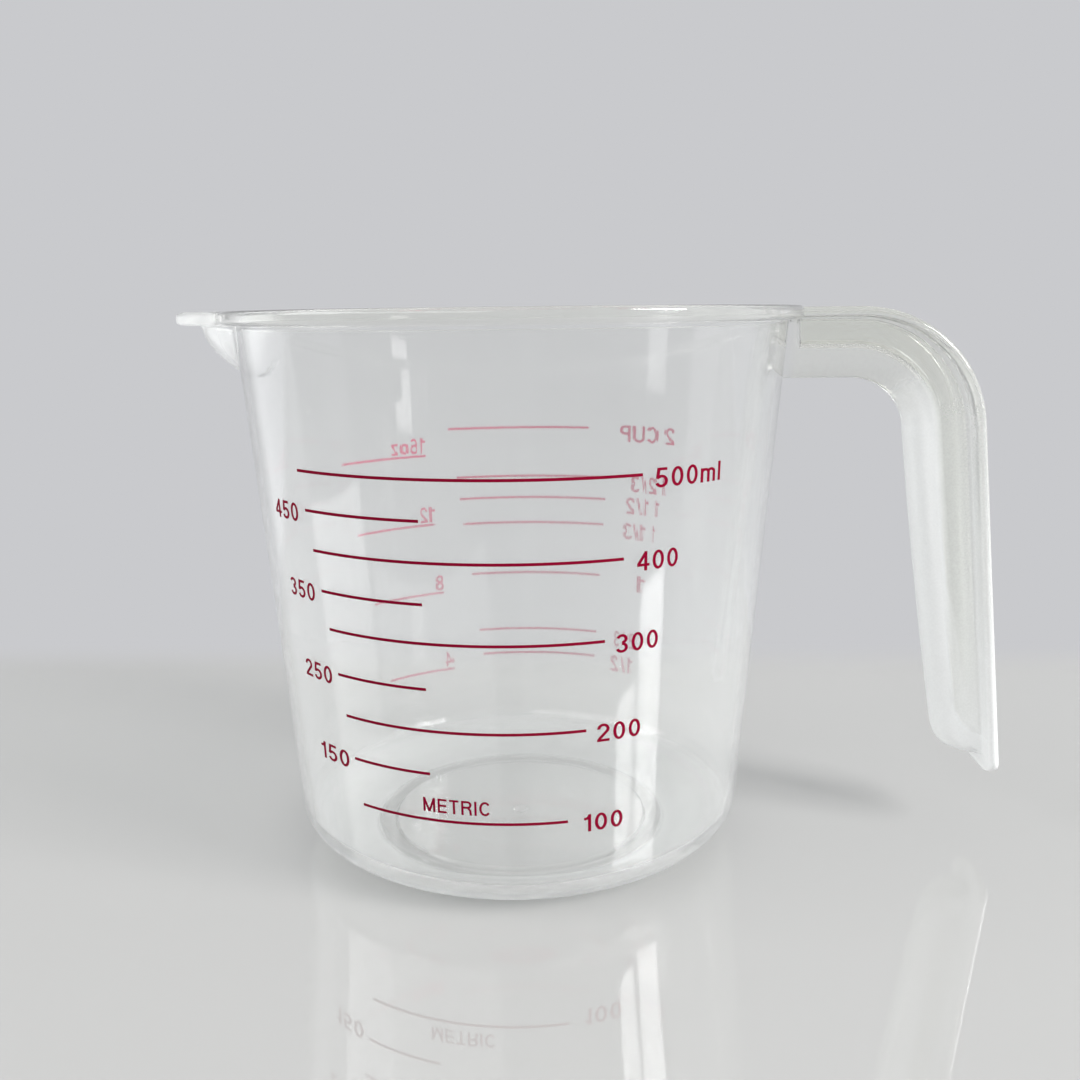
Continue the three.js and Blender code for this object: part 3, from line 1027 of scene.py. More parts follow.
    def _ring(self, left: float, opening: float, length: float) -> list[Point2]:
        """Whole section at a place on the strap.

        Args:
            left: length left to the tip.
            opening: how far the channel is open there.
            length: of the leg.

        Returns:
            Pairs of place across and depth, once round from the middle of the channel's inside.
        """
        half_strap = self.tongue_tip / 2
        half_strap += (self.strap_width / 2 - half_strap) * self._fall(left, self.tongue_round)
        channel_left = left - self.tongue
        used = 1 - clamp(channel_left / (length - self.tongue))
        taper = 1 - used**self.taper_power
        full = self.end_depth + (self.bridge_depth - self.end_depth) * taper
        thick = self.strap_thickness
        wall = self.end_wall + (self.channel_wall - self.end_wall) * taper
        floor = self.end_floor + (self.floor - self.end_floor) * taper
        depth = thick + (full - thick) * self._fall(channel_left, self.end_round, self.end_power)
        opened = (full - floor) * self._fall(channel_left - floor, self.end_round) * opening
        half = self._half_section(half_strap, depth, opened, wall)
        points = half + [(-across, deep) for across, deep in half[-2:0:-1]]
        if left < self.tip_round:
            middle = thick / 2
            shrink = self.tip_least + (1 - self.tip_least) * self._fall(left, self.tip_round)
            points = [(across, middle + (deep - middle) * shrink) for across, deep in points]
        return points

    def _inside_milk(self, down: float) -> float:
        """How much light the channel's inside scatters: little, apart from low on the leg."""
        leg = max(down - 1, 0.0)
        return self.inside_milk + (self.end_milk - self.inside_milk) * leg**self.side_power

    def _milk(self, deep: float, floor: float, depth: float, down: float) -> float:
        """How much light the outside scatters, for the plastic behind it.

        Args:
            deep: depth of the place below the strap's outer face.
            floor: depth of the channel's inside there.
            depth: whole depth of the handle there.
            down: how far down the hook the place is.

        Returns:
            Share of the light, more on the roll under the channel and on the strap, and most low on the leg.
        """
        leg = max(down - 1, 0.0)
        solid = self.solid_edge
        settled = clamp((down - self.clear_bend) / (1 - self.clear_bend))
        strap = clamp((self.strap_thickness + solid - deep) / solid)
        under = clamp((deep - floor + solid / 2) / solid)
        deepest = clamp((deep - floor) / max(depth - floor, solid))
        roll = under * settled * (self.roll_milk + (1 - self.roll_milk) * max(deepest, leg))
        crept = max((leg - self.creep_from) / (1 - self.creep_from), 0.0)
        limit = floor + (self.strap_thickness - floor) * crept
        creep = self.creep_milk * clamp((deep - limit) / solid) * settled
        white = max(roll, creep, strap * leg**self.strap_power, leg**self.side_power)
        least = self.bridge_milk + (self.side_milk - self.bridge_milk) * settled
        return least + (self.end_milk - least) * white

    def build(self, material: bpy.types.Material) -> bpy.types.Object:
        """Makes the handle against the cup's wall.

        Args:
            material: what it is moulded in.

        Returns:
            The closed handle, with its faces outwards.
        """
        stations, length = self._path()
        rings = []
        milk = []
        for i, (point, out, left, opening, down) in enumerate(stations):
            ring = []
            section = self._ring(left, opening, length)
            floor, depth = section[0][1], max(deep for _, deep in section)
            for j, (across, deep) in enumerate(section):
                inside = min(j, len(section) - j) <= self.bottom_steps
                milk.append(self._inside_milk(down) if inside else self._milk(deep, floor, depth, down))
                x, z = point - out * deep
                if i == 0:
                    x = self.cup.wall.outside(z) - self.bite
                ring.append((x * MM, across * MM, z * MM))
            rings.append(ring)
        count = len(rings[0])
        faces = [tuple(range(count - 1, -1, -1))]
        for s in range(len(rings) - 1):
            for i in range(count):
                a, b = s * count + i, s * count + (i + 1) % count
                faces.append((a, b, b + count, a + count))
        last = (len(rings) - 1) * count
        faces.append(tuple(range(last, last + count)))
        mesh = mesh_of("handle", [point for ring in rings for point in ring], (), faces)
        mesh.materials.append(material)
        store(mesh, MILK, milk)
        face_outwards(mesh)
        return new_object("handle", mesh)


@dataclass
class Moulding:
    """The whole one-piece moulding: the cup joined to its handle.

    Attributes:
        crease: angle past which an edge is shaded sharp, in degrees.
        same_place: distance within which a corner is still the handle's own.
    """

    cup: Cup
    handle: Handle
    crease: float = 38.0
    same_place: float = 0.01

    def _milk_of(self, arm: bpy.types.Mesh) -> Callable[[Vector], float]:
        """Takes the share of haze off the handle, which the join would lose.

        Args:
            arm: the handle's mesh.

        Returns:
            What finds the share again by place.
        """
        tree = KDTree(len(arm.vertices))
        for vertex in arm.vertices:
            tree.insert(vertex.co, vertex.index)
        tree.balance()
        shares = [item.value for item in arm.attributes[MILK].data]
        arm.attributes.remove(arm.attributes[MILK])

        def milk(place: Vector) -> float:
            """Share at a place."""
            _, index, distance = tree.find(place)
            return shares[index] if distance < self.same_place * MM else 0.0

        return milk

    def build(self, place: JugFrame, material: bpy.types.Material) -> bpy.types.Object:
        """Joins cup and handle into one closed piece at its place in the frame.

        Args:
            place: where the frame holds the jug.
            material: what it is moulded in.

        Returns:
            The piece, which stands for its plain solid.
        """
        piece = self.cup.build(material)
        arm = self.handle.build(material)
        milk = self._milk_of(arm.data)
        join = piece.modifiers.new("join", "BOOLEAN")
        join.operation = "UNION"
        join.solver = "EXACT"
        join.object = arm
        settle(piece)
        bpy.data.objects.remove(arm)
        store(piece.data, MILK, [milk(vertex.co) for vertex in piece.data.vertices])
        piece.name = piece.data.name = "jug_moulding"
        place.seat(piece.data)
        shade(piece.data, self.crease)
        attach(piece, BODY)
        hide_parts("jug_body")
        return piece


class Lettering:
    """Plain upright numerals and unit names, drawn with a pen of one width on a cap height of 1.

    Attributes:
        PEN: width of the pen.
        GAP: between signs.
        SPACE: between words.
        ARC_STEPS: stretches in half a turn.
        LEAST_STEPS: fewest stretches in an arc.
        LEAST_TURN: least cosine that a corner's mitre is worked out with.
        SAME_PLACE: distance within which corners are one.
    """

    PEN = 0.142
    GAP = 0.17
    SPACE = 0.3
    ARC_STEPS = 14
    LEAST_STEPS = 3
    LEAST_TURN = 0.5
    SAME_PLACE = 1e-5

    @classmethod
    def _bow(cls, cx: float, cy: float, rx: float, ry: float, start: float, end: float) -> list[Point2]:
        """Points of an elliptical arc between two angles in degrees."""
        steps = max(cls.LEAST_STEPS, round(cls.ARC_STEPS * abs(end - start) / 180))
        return arc((cx, cy), (rx, ry), start, end, steps)

    @classmethod
    def glyph(cls, sign: str) -> tuple[float, list[list[Point2]]]:
        """Strokes of one sign.

        Args:
            sign: a numeral, letter or stroke.

        Returns:
            Its width and the middle lines of its strokes.
        """
        bow = cls._bow
        h = cls.PEN / 2
        top, w = 1 - h, 0.56
        half, reach = w / 2, w / 2 - h
        stem = [(h, 0), (h, 1)]
        shapes = {
            "0": (w, [bow(half, 0.5, reach, 0.5 - h, 90, 450)]),
            "1": (0.32, [[(0.32 - h, 0), (0.32 - h, 1)], [(0.32 - h, 0.9), (0.16, 0.77), (0, 0.74)]]),
            "2": (w, [
                bow(half, 0.7, reach, 0.3 - h, 180, -28) + [(h + 0.06, 0.2), (h, h)],
                [(0, h), (w, h)],
            ]),
            "3": (w, [
                bow(half, 0.74, reach - 0.02, 0.26 - h, 165, -90),
                bow(half, 0.28, reach, 0.28 - h, 90, -165),
            ]),
            "4": (w, [[(0.4, 0), (0.4, 1)], [(0.4, 0.94), (0.05, 0.33)], [(0, 0.3), (w + 0.02, 0.3)]]),
            "5": (w, [
                [(0.1, top), (w - 0.04, top)],
                [(0.15, 1), (0.09, 0.46)],
                [(0.07, 0.48)] + bow(half - 0.01, 0.32, reach + 0.01, 0.32 - h, 130, -160),
            ]),
            "6": (w, [
                bow(half, 0.31, reach, 0.31 - h, 90, 450),
                bow(half + 0.04, 0.5, reach + 0.04, 0.5 - h, 50, 200),
            ]),
            "8": (w, [
                bow(half, 0.745, reach - 0.03, 0.255 - h, 90, 450),
                bow(half, 0.28, reach, 0.28 - h, 90, 450),
            ]),
            "/": (0.34, [[(0.03, 0), (0.31, 1)]]),
            "m": (0.82, [
                [(h, 0), (h, 0.73)],
                bow(0.25, 0.5, 0.25 - h, 0.23 - h, 170, 0) + [(0.5 - h, 0)],
                bow(0.58, 0.5, 0.24 - h, 0.23 - h, 170, 0) + [(0.82 - h, 0)],
            ]),
            "l": (cls.PEN, [stem]),
            "o": (0.56, [bow(0.28, 0.365, 0.28 - h, 0.365 - h, 90, 450)]),
            "z": (0.5, [
                [(0, 0.73 - h), (0.5, 0.73 - h)],
                [(0.43, 0.66), (0.07, 0.07)],
                [(0, h), (0.5, h)],
            ]),
            "M": (0.8, [
                stem,
                [(h, 0.97), (0.4, 0.03)],
                [(0.4, 0.03), (0.8 - h, 0.97)],
                [(0.8 - h, 0), (0.8 - h, 1)],
            ]),
            "E": (0.6, [stem, [(0, top), (0.6, top)], [(0, 0.52), (0.56, 0.52)], [(0, h), (0.6, h)]]),
            "T": (0.6, [[(0.3, 0), (0.3, 1)], [(0, top), (0.6, top)]]),
            "R": (0.66, [
                stem,
                [(0, top), (0.4, top)] + bow(0.4, 0.73, 0.26 - h, 0.27 - h, 90, -90) + [(0, 0.46 + h)],
                bow(0.38, 0.26, 0.2, 0.2, 80, 20) + [(0.6, 0.0)],
            ]),
            "I": (cls.PEN, [stem]),
            "C": (0.68, [bow(0.36, 0.5, 0.36 - h, 0.5 - h, 38, 322)]),
            "U": (0.64, [[(h, 1)] + bow(0.32, 0.32, 0.32 - h, 0.32 - h, 180, 360) + [(0.64 - h, 1)]]),
            "P": (0.6, [
                stem,
                [(0, top), (0.34, top)] + bow(0.34, 0.72, 0.26 - h, 0.28 - h, 90, -90) + [(0, 0.44 + h)],
            ]),
        }
        return shapes[sign]

    @classmethod
    def width(cls, words: str) -> float:
        """Width of a caption on a cap height of 1."""
        return sum(cls.SPACE if sign == " " else cls.glyph(sign)[0] + cls.GAP for sign in words) - cls.GAP

    @classmethod
    def _ribbon(cls, line: list[Point2]) -> list[list[Point2]]:
        """Draws a pen stroke along a line.

        Args:
            line: middle of the stroke.

        Returns:
            The stroke in four-sided stretches.
        """
        points = np.array(line)
        points = points[np.append(True, np.linalg.norm(np.diff(points, axis=0), axis=1) > TINY)]
        steps = np.diff(points, axis=0)
        steps /= np.linalg.norm(steps, axis=1)[:, None]
        closed = np.allclose(points[0], points[-1])
        before = np.vstack([steps[-1:] if closed else steps[:1], steps])
        after = np.vstack([steps, steps[:1] if closed else steps[-1:]])
        tangent = before + after
        tangent /= np.linalg.norm(tangent, axis=1)[:, None]
        normal = np.column_stack([-tangent[:, 1], tangent[:, 0]])
        reach = cls.PEN / 2 / np.clip((tangent * after).sum(1), cls.LEAST_TURN, 1.0)
        left, right = points + normal * reach[:, None], points - normal * reach[:, None]
        quads = zip(right[:-1], right[1:], left[1:], left[:-1])
        return [[tuple(corner) for corner in quad] for quad in quads]

    @classmethod
    def flat(cls, words: str, cap: float, stretch: float) -> tuple[np.ndarray, list[Face]]:
        """A caption as one flat sheet with no overlaps, its lower left corner at the origin.

        Args:
            words: the caption.
            cap: cap height.
            stretch: width of the signs over their natural width.

        Returns:
            Corners and faces.
        """
        pen = 0.0
        corners: list[np.ndarray] = []
        faces: list[Face] = []
        for sign in words:
            if sign == " ":
                pen += cls.SPACE
                continue
            width, strokes = cls.glyph(sign)
            quads = [quad for line in strokes for quad in cls._ribbon(line)]
            points = [Vector((x + pen, y)) for quad in quads for x, y in quad]
            rings = [tuple(range(4 * i, 4 * i + 4)) for i in range(len(quads))]
            found = delaunay_2d_cdt(points, [], rings, 0, cls.SAME_PLACE)
            offset = sum(map(len, corners))
            corners.append(np.array([tuple(point) for point in found[0]]))
            faces += [tuple(offset + i for i in face) for face, inked in zip(found[2], found[5]) if inked]
            pen += width + cls.GAP
        return np.vstack(corners) * (cap * stretch, cap), faces


@dataclass(frozen=True)
class Caption:
    """Words beside a mark.

    Attributes:
        words: what is printed.
        along: left end along the wall, as read, from the middle of its side.
        height: of the foot of the words.
        width: of the whole caption.
        cap: height of its capitals and numerals.
    """

    words: str
    along: float
    height: float
    width: float
    cap: float


@dataclass(frozen=True)
class Bar:
    """One printed mark: its ends along the wall, as read, and its height."""

    left: float
    right: float
    height: float


@dataclass
class PrintedScale:
    """One scale of marks with its captions, printed on the wall.

    Attributes:
        title: start of its pieces' names.
        wall: what it is printed on.
        facing: side of the wall that carries it.
        bars: its marks, by the nodes that they stand for.
        captions: its words.
        line: width of a mark's line.
        gap: between wall and ink.
        film: thickness of the ink.
        steps: stretches that each mark is made of.
    """

    title: str
    wall: Wall
    facing: Facing
    bars: dict[str, Bar]
    captions: list[Caption]
    line: float = 0.5
    gap: float = 0.02
    film: float = 0.03
    steps: int = 40

    @staticmethod
    def bar_tree() -> GeometryTree:
        """Draws the Geometry Nodes that lay a flat strip for each point, which holds its ends and height.

        Returns:
            The tree.
        """
        made = GeometryTree("printed_bars", ["Steps"], ["Line Width"])
        position = made.add("GeometryNodeInputPosition")
        marks = made.keep(made.given(), "span", position)
        corners = {"Vertices X": made.given("Steps") + 1, "Vertices Y": 2}
        strip = made.keep(made.add("GeometryNodeMeshGrid", None, corners, "Mesh"), "local", position)
        strips = made.add("GeometryNodeInstanceOnPoints", None, {"Points": marks, "Instance": strip})
        real = made.add("GeometryNodeRealizeInstances", None, {"Geometry": strips})
        left, right, height = made.split(made.stored("span", "FLOAT_VECTOR"), "XYZ")
        across, up = made.split(made.stored("local", "FLOAT_VECTOR"), "XY")
        flat = {"X": left + (right - left) * (across + 0.5), "Y": height + up * made.given("Line Width")}
        made.close(made.moved(real, made.add("ShaderNodeCombineXYZ", None, flat)))
        return made

    @staticmethod
    def wrap_tree() -> GeometryTree:
        """Draws the Geometry Nodes that wrap a flat print round the wall, as thick as an ink film.

        Returns:
            The tree.
        """
        made = GeometryTree("print_on_wall", [], ["Facing", "Base Radius", "Slope", "Gap", "Film"])
        along, height = made.split(made.add("GeometryNodeInputPosition"), "XY")
        wall = made.given("Base Radius") + made.given("Slope") * height
        angle = made.given("Facing") + along / wall
        under = made.moved(made.given(), made.turned(wall + made.given("Gap"), angle, height))
        raised = {"Mesh": under, "Offset Scale": made.given("Film"), "Individual": False}
        over = made.add("GeometryNodeExtrudeMesh", {"mode": "FACES"}, raised, "Mesh")
        back = made.add("GeometryNodeFlipFaces", None, {"Mesh": under})
        both = made.add("GeometryNodeJoinGeometry", None, {"Geometry": over})
        made.plug(both.socket.node.inputs["Geometry"], back)
        made.close(made.welded(both))
        return made

    def _wrap(self, tree: GeometryTree, piece: bpy.types.Object, material: bpy.types.Material) -> None:
        """Puts the wrapping tree on a flat print.

        Args:
            tree: the wrapping tree.
            piece: the flat print.
            material: the ink.
        """
        values = {
            "Facing": self.facing.value,
            "Base Radius": self.wall.base_radius * MM,
            "Slope": self.wall.slope,
            "Gap": self.gap * MM,
            "Film": self.film * MM,
            "Material": material,
        }
        tree.attach(piece, values)

    def build_bars(
        self, trees: tuple[GeometryTree, GeometryTree], place: JugFrame, material: bpy.types.Material
    ) -> bpy.types.Object:
        """Prints the marks, in place of their plain solids.

        Args:
            trees: those that lay the strips and wrap them.
            place: where the frame holds the jug.
            material: the ink.

        Returns:
            All marks of the scale, as one piece.
        """
        points = [(bar.left * MM, bar.right * MM, bar.height * MM) for bar in self.bars.values()]
        piece = new_object(f"{self.title}_marks", mesh_of(self.title, points))
        lay, wrap = trees
        lay.attach(piece, {"Line Width": self.line * MM, "Steps": self.steps, "Material": material})
        self._wrap(wrap, piece, material)
        settle(piece)
        self._dress(piece, place)
        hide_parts(*self.bars)
        return piece

    def build_captions(
        self, wrap: GeometryTree, place: JugFrame, material: bpy.types.Material
    ) -> bpy.types.Object:
        """Prints the captions.

        Args:
            wrap: the wrapping tree.
            place: where the frame holds the jug.
            material: the ink.

        Returns:
            All captions of the scale, as one piece.
        """
        points: list[tuple[float, float, float]] = []
        faces: list[Face] = []
        for caption in self.captions:
            stretch = caption.width / (Lettering.width(caption.words) * caption.cap)
            corners, sheets = Lettering.flat(caption.words, caption.cap, stretch)
            faces += [tuple(len(points) + i for i in sheet) for sheet in sheets]
            points += [((x + caption.along) * MM, (y + caption.height) * MM, 0.0) for x, y in corners]
        piece = new_object(f"{self.title}_numerals", mesh_of(self.title, points, (), faces))
        self._wrap(wrap, piece, material)
        settle(piece)
        self._dress(piece, place)
        return piece

    def _dress(self, piece: bpy.types.Object, place: JugFrame) -> None:
        """Seats a print on the wall and says what it is.

        Args:
            piece: the print.
            place: where the frame holds the jug.
        """
        for name in ("span", "local"):
            if name in piece.data.attributes:
                piece.data.attributes.remove(piece.data.attributes[name])
        place.seat(piece.data)
        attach(piece, BODY)


@dataclass(frozen=True)
class Run:
    """A place along the wall that moves evenly with the amount: where it starts and its step per unit."""

    start: float
    step: float

    def at(self, amount: float) -> float:
        """Place for an amount."""
        return self.start + self.step * amount


def metric_scale(wall: Wall) -> PrintedScale:
    """Millilitres, on the front: long marks at each hundred, short ones between.

    Args:
        wall: what they are printed on.

    Returns:
        The scale.
    """
    heights = dict(zip(range(100, 501, 50), (19.4, 27.9, 35.65, 43.0, 50.9, 57.5, 64.4, 71.15, 77.75)))
    long_words = {100: 13.4, 200: 15.7, 300: 18.9, 400: 22.6, 500: 25.7}
    left, right, short_words = Run(-23.85, -0.0261), Run(7.45, 0.0319), Run(-33.2, -0.0285)
    long_width, short_width, other_widths = 7.9, 8.2, {100: 7.0, 500: 14.1}
    cap, drop, short_end = 3.2, 2.3, -12.4
    bars = {}
    captions = [Caption("METRIC", along=-13.9, height=20.9, width=11.6, cap=2.6)]
    for ml, height in heights.items():
        if ml in long_words:
            end, start, width = right.at(ml), long_words[ml], other_widths.get(ml, long_width)
        else:
            end, start, width = short_end, short_words.at(ml), short_width
        words = f"{ml}ml" if ml == max(heights) else f"{ml}"
        captions.append(Caption(words, start, height - drop, width, cap))
        bars[f"mark_{ml}_ml"] = Bar(left.at(ml), end, height)
    return PrintedScale("metric", wall, Facing.FRONT, bars, captions)


def cup_scale(wall: Wall) -> PrintedScale:
    """Cups, on the back, towards the handle.

    Args:
        wall: what they are printed on.

    Returns:
        The scale.
    """
    # Each mark's cups, height, words and the two ends of the words.
    marks = {
        "half_cup": (1 / 2, 21.8, "1/2", -26.6, -20.8),
        "two_thirds_cup": (2 / 3, 27.7, "2/3", -27.6, -21.6),
        "one_cup": (1, 41.4, "1", -30.2, -28.0),
        "one_and_a_third_cups": (4 / 3, 53.5, "1 1/3", -33.1, -24.1),
        "one_and_a_half_cups": (3 / 2, 59.5, "1 1/2", -34.1, -24.9),
        "one_and_two_thirds_cups": (5 / 3, 64.6, "1 2/3", -36.3, -26.2),
        "two_cups": (2, 76.1, "2 CUP", -38.1, -23.2),
    }
    left, right, top_left = Run(-15.3, -2.6), Run(8.6, 5.3), -15.2
    cap, drop = 3.8, 3.0
    bars, captions = {}, []
    for name, (cups, height, words, start, end) in marks.items():
        near = top_left if name == "two_cups" else left.at(cups)
        bars[f"mark_{name}"] = Bar(near, right.at(cups), height)
        captions.append(Caption(words, start, height - drop, end - start, cap))
    return PrintedScale("cup", wall, Facing.BACK, bars, captions)


def ounce_scale(wall: Wall) -> PrintedScale:
    """Ounces, on the back, towards the lip.

    Args:
        wall: what they are printed on.

    Returns:
        The scale.
    """
    heights = {4: 19.0, 8: 37.6, 12: 54.0, 16: 70.2}
    near, far = Run(17.1, 0.5), Run(32.1, 1.0)
    cap, rise = 3.6, 0.6
    bars, captions = {}, []
    for ounces, height in heights.items():
        bars[f"mark_{ounces}_oz"] = Bar(near.at(ounces), far.at(ounces), height)
        words = f"{ounces}oz" if ounces == max(heights) else f"{ounces}"
        captions.append(Caption(words, near.at(ounces), height + rise, Lettering.width(words) * cap, cap))
    return PrintedScale("ounce", wall, Facing.BACK, bars, captions)


@dataclass(frozen=True)
class Panel:
    """A soft rectangular lamp that faces the jug.

    Attributes:
        name: of the lamp.
        azimuth: its middle as seen from the jug, from -Y towards +X, in degrees.
        elevation: its middle above the table, in degrees.
        spread: its width and height as seen from the jug, in degrees.
        glow: its radiance.
        roll: how far its top leans towards +X, in degrees.
    """

    name: str
    azimuth: float
    elevation: float
    spread: Point2
    glow: float
    roll: float = 0.0


@dataclass
class Studio:
    """Table, backdrop, light and camera.

    Attributes:
        place: where the frame holds the jug.
        wall_behind: distance of the backdrop behind the cup's axis.
        focal_px: focal length in pixels of the picture.
        picture_px: width of the picture in pixels.
        camera_at: place of the camera from the foot of the cup's axis.
        heading: turn of the camera from +Y towards +X, in degrees.
        pitch: how far it looks down, in degrees.
        roll: its turn about its own line of sight, in degrees.
        cove: radius of the hollow round between table and backdrop.
        soft_foot: length over which the table's finish turns into the backdrop's.
        dim: colour of the backdrop to scattered light.
        glow_from: distance to either side at which the backdrop starts to brighten with a painted glow.
        glow_to: distance at which the painted glow is brightest.
        left_glow: how much brighter the painted glow makes it there on the left.
        right_glow: the same on the right.
        room: colour of the light from all round.
        room_light: its strength.
        lamp_distance: from the jug to each lamp, in metres.
        aim_height: height on the jug that the lamps face.
        near_clip: distance below which the camera sees nothing, in metres.
    """

    place: JugFrame
    wall_behind: float = 128.0
    focal_px: float = 1112.82
    picture_px: float = 1080.0
    sensor: float = 36.0
    camera_at: tuple[float, float, float] = (13.21, -215.98, 102.24)
    heading: float = -2.257
    pitch: float = 11.432
    roll: float = 0.665
    cove: float = 4.0
    cove_steps: int = 24
    soft_foot: float = 30.0
    stage_reach: float = 2000.0
    table: Colour = (0.5, 0.5, 0.49)
    table_ior: float = 2.1
    polish: float = 0.025
    backdrop: Colour = (0.585, 0.59, 0.61)
    dim: Colour = (0.25, 0.25, 0.25)
    # painted glow on the backdrop's sides, out of sight, which the jug reflects as highlights
    glow_from: float = 200.0
    glow_to: float = 290.0
    left_glow: float = 0.9
    right_glow: float = 0.25
    room: Colour = (0.97, 0.98, 1.0)
    room_light: float = 0.37
    lamp_distance: float = 3.0
    aim_height: float = 50.0
    near_clip: float = 0.01
    panels: tuple[Panel, ...] = (
        Panel("window_wide_pane", azimuth=68.0, elevation=28.5, spread=(10.5, 21.0), glow=40.0, roll=12.0),
        Panel("window_narrow_pane", azimuth=56.5, elevation=32.0, spread=(7.5, 14.5), glow=40.0, roll=12.0),
        Panel("sunlit_sill", azimuth=61.5, elevation=6.0, spread=(8.0, 5.0), glow=3.0),
        Panel("far_window", azimuth=-80.0, elevation=28.0, spread=(30.0, 30.0), glow=4.4),
        Panel("front_window", azimuth=-35.0, elevation=31.0, spread=(50.0, 24.0), glow=2.5),
    )

    def _camera(self) -> None:
        """Sets up the photograph's camera."""
        data = bpy.data.cameras.new("camera")
        data.sensor_width = self.sensor
        data.lens = self.sensor * self.focal_px / self.picture_px
        data.clip_start = self.near_clip
        made = new_object("camera", data)
        yaw, pitch, roll = (math.radians(a) for a in (self.heading, self.pitch, self.roll))
        ahead = Vector((math.sin(yaw) * math.cos(pitch), math.cos(yaw) * math.cos(pitch), -math.sin(pitch)))
        right = Vector((math.cos(yaw), -math.sin(yaw), 0.0))
        down = ahead.cross(right)
        across = right * math.cos(roll) + down * math.sin(roll)
        below = down * math.cos(roll) - right * math.sin(roll)
        turn = Matrix((across, -below, -ahead)).transposed()
        spot = Vector(self.camera_at) * MM + Vector((self.place.axis_x, 0.0, 0.0))
        made.matrix_world = Matrix.Translation(spot) @ turn.to_4x4()
        bpy.context.scene.camera = made

    def _sweep(self) -> bpy.types.Mesh:
        """Makes table and backdrop in one sheet, with a hollow round between them.

        Returns:
            The sheet.
        """
        back, hollow, far = (length * MM for length in (self.wall_behind, self.cove, self.stage_reach))
        line = [(-far, 0.0)]
        for angle in np.linspace(0.0, math.pi / 2, self.cove_steps + 1):
            line.append((back - hollow + hollow * math.sin(angle), hollow - hollow * math.cos(angle)))
        line.append((back, far))
        points = [(x, y, z) for y, z in line for x in (-far, far)]
        faces = [(2 * i, 2 * i + 1, 2 * i + 3, 2 * i + 2) for i in range(len(line) - 1)]
        mesh = mesh_of("stage", points, (), faces)
        mesh.shade_smooth()
        return mesh

    def _stage_finish(self) -> bpy.types.Material:
        """Glossy pale table top and a backdrop that is plain to the eye, in mirrors and through plastic.

        Returns:
            The material.
        """
        made = bpy.data.materials.new("stage")
        sheet = fresh_sheet(made)
        finish = {"Base Color": self.table, "Roughness": self.polish, "IOR": self.table_ior}
        table = sheet.add(PRINCIPLED, None, finish)
        across, away = sheet.split(sheet.add("ShaderNodeTexCoord", None, None, "Object"), "XY")
        # The backdrop's sides, out of the camera's sight, glow brighter: a painted glow that stands in for
        # windows and gives the jug's edges reflected highlights.
        colour = self.backdrop
        for side, glow in ((-1, self.left_glow), (1, self.right_glow)):
            share = sheet.ramp(across, side * self.glow_from * MM, side * self.glow_to * MM)
            colour = sheet.blend(share, colour, tuple(channel * (1 + glow) for channel in self.backdrop))
        seen = sheet.add("ShaderNodeEmission", None, {"Color": colour})
        dim = sheet.add("ShaderNodeBsdfDiffuse", None, {"Color": self.dim})
        rays = ("Is Camera Ray", "Is Glossy Ray", "Is Transmission Ray")
        straight, mirrored, through = (sheet.add("ShaderNodeLightPath", None, None, ray) for ray in rays)
        front = sheet.layer((straight + mirrored + through).least(1.0), dim, seen)
        behind = sheet.add("ShaderNodeBsdfTransparent")
        wall = sheet.layer(sheet.add("ShaderNodeNewGeometry", None, None, "Backfacing"), front, behind)
        foot = self.wall_behind - self.cove
        near = sheet.ramp(away, (foot - self.soft_foot) * MM, foot * MM)
        sheet.add("ShaderNodeOutputMaterial", None, {"Surface": sheet.layer(near, table, wall)})
        return made

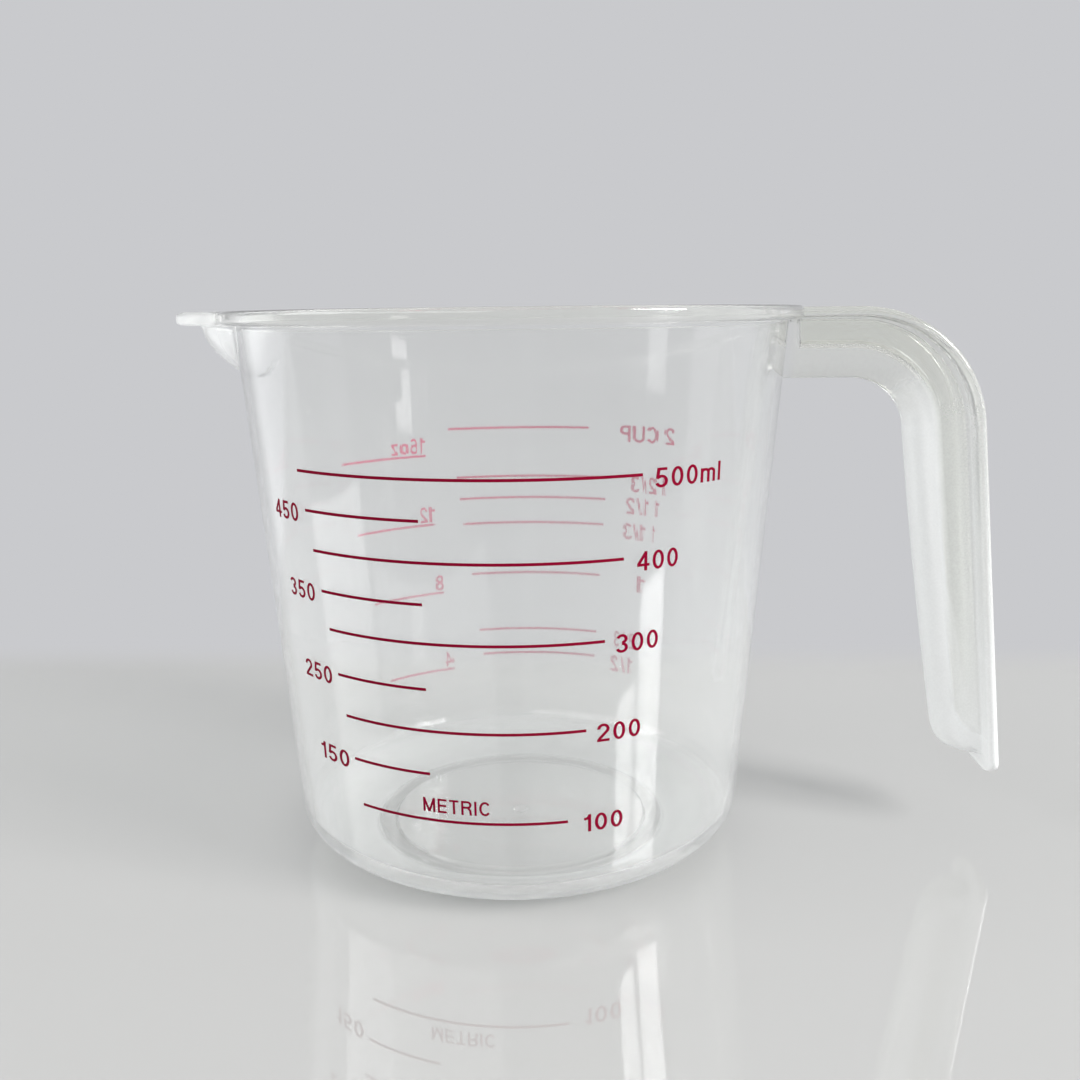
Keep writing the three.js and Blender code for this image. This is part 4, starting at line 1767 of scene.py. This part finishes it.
    def _light(self, panel: Panel) -> None:
        """Adds a lamp.

        Args:
            panel: its size, place and brightness.
        """
        turn, lift = math.radians(panel.azimuth), math.radians(panel.elevation)
        aim = Vector((self.place.axis_x, 0.0, self.aim_height * MM))
        away = Vector((math.sin(turn) * math.cos(lift), -math.cos(turn) * math.cos(lift), math.sin(lift)))
        angles = (math.radians(angle) for angle in panel.spread)
        width, height = (2 * self.lamp_distance * math.tan(angle / 2) for angle in angles)
        data = bpy.data.lights.new(panel.name, "AREA")
        data.shape = "RECTANGLE"
        data.size, data.size_y = width, height
        data.energy = math.pi * panel.glow * width * height
        made = new_object(panel.name, data)
        made.location = aim + away * self.lamp_distance
        lean = Quaternion((0.0, 0.0, 1.0), -math.radians(panel.roll))
        made.rotation_euler = ((-away).to_track_quat("-Z", "Y") @ lean).to_euler()

    def build(self) -> None:
        """Sets the stage."""
        scene = bpy.context.scene
        scene.view_settings.view_transform = "Standard"
        scene.world = bpy.data.worlds.new("room")
        sheet = fresh_sheet(scene.world)
        glow = sheet.add("ShaderNodeBackground", None, {"Color": self.room, "Strength": self.room_light})
        sheet.add("ShaderNodeOutputWorld", None, {"Surface": glow})
        mesh = self._sweep()
        mesh.materials.append(self._stage_finish())
        new_object("stage", mesh)
        for panel in self.panels:
            self._light(panel)
        self._camera()


def main() -> None:
    """Builds the jug and its stage in order."""
    logging.basicConfig(level=logging.INFO, format="%(name)s: %(message)s")
    place = JugFrame()
    wall = Wall()
    cup = Cup(wall)
    handle = Handle(cup)
    zones = HazeZones(
        foot=cup.corner_height * MM,
        floor=(cup.foot_radius * MM, (cup.foot_radius + cup.foot_width) * MM),
        axis=place.axis_x,
        handle=tuple(place.axis_x + (cup.flange_radius - reach) * MM for reach in (cup.flange_width, 0.0)),
        lip=(place.axis_x - wall.inside(wall.height) * MM, place.axis_x - cup.flange_radius * MM),
        rim=((cup.underside - cup.flange_fillet) * MM, (cup.underside + cup.flange_fillet) * MM),
    )
    plastic = ClearPlastic().material(zones)
    inks = {
        Facing.FRONT: PrintInk("ink").material(),
        # The back scales wear a lighter, pinker copy of the ink: painted backlight, standing in for light
        # from behind that shines through the ink seen through the wall.
        Facing.BACK: PrintInk("ink_painted_backlight", deep=(0.46, 0.04, 0.11), thin=(0.54, 0.06, 0.15)).material(),
    }
    Studio(place).build()
    moulding = Moulding(cup, handle).build(place, plastic)
    log.info("%s: %d faces", moulding.name, len(moulding.data.polygons))
    lay, wrap = PrintedScale.bar_tree(), PrintedScale.wrap_tree()
    for scale in (metric_scale(wall), cup_scale(wall), ounce_scale(wall)):
        ink = inks[scale.facing]
        for piece in (scale.build_bars((lay, wrap), place, ink), scale.build_captions(wrap, place, ink)):
            log.info("%s: %d faces", piece.name, len(piece.data.polygons))


if __name__ == "__main__":
    main()
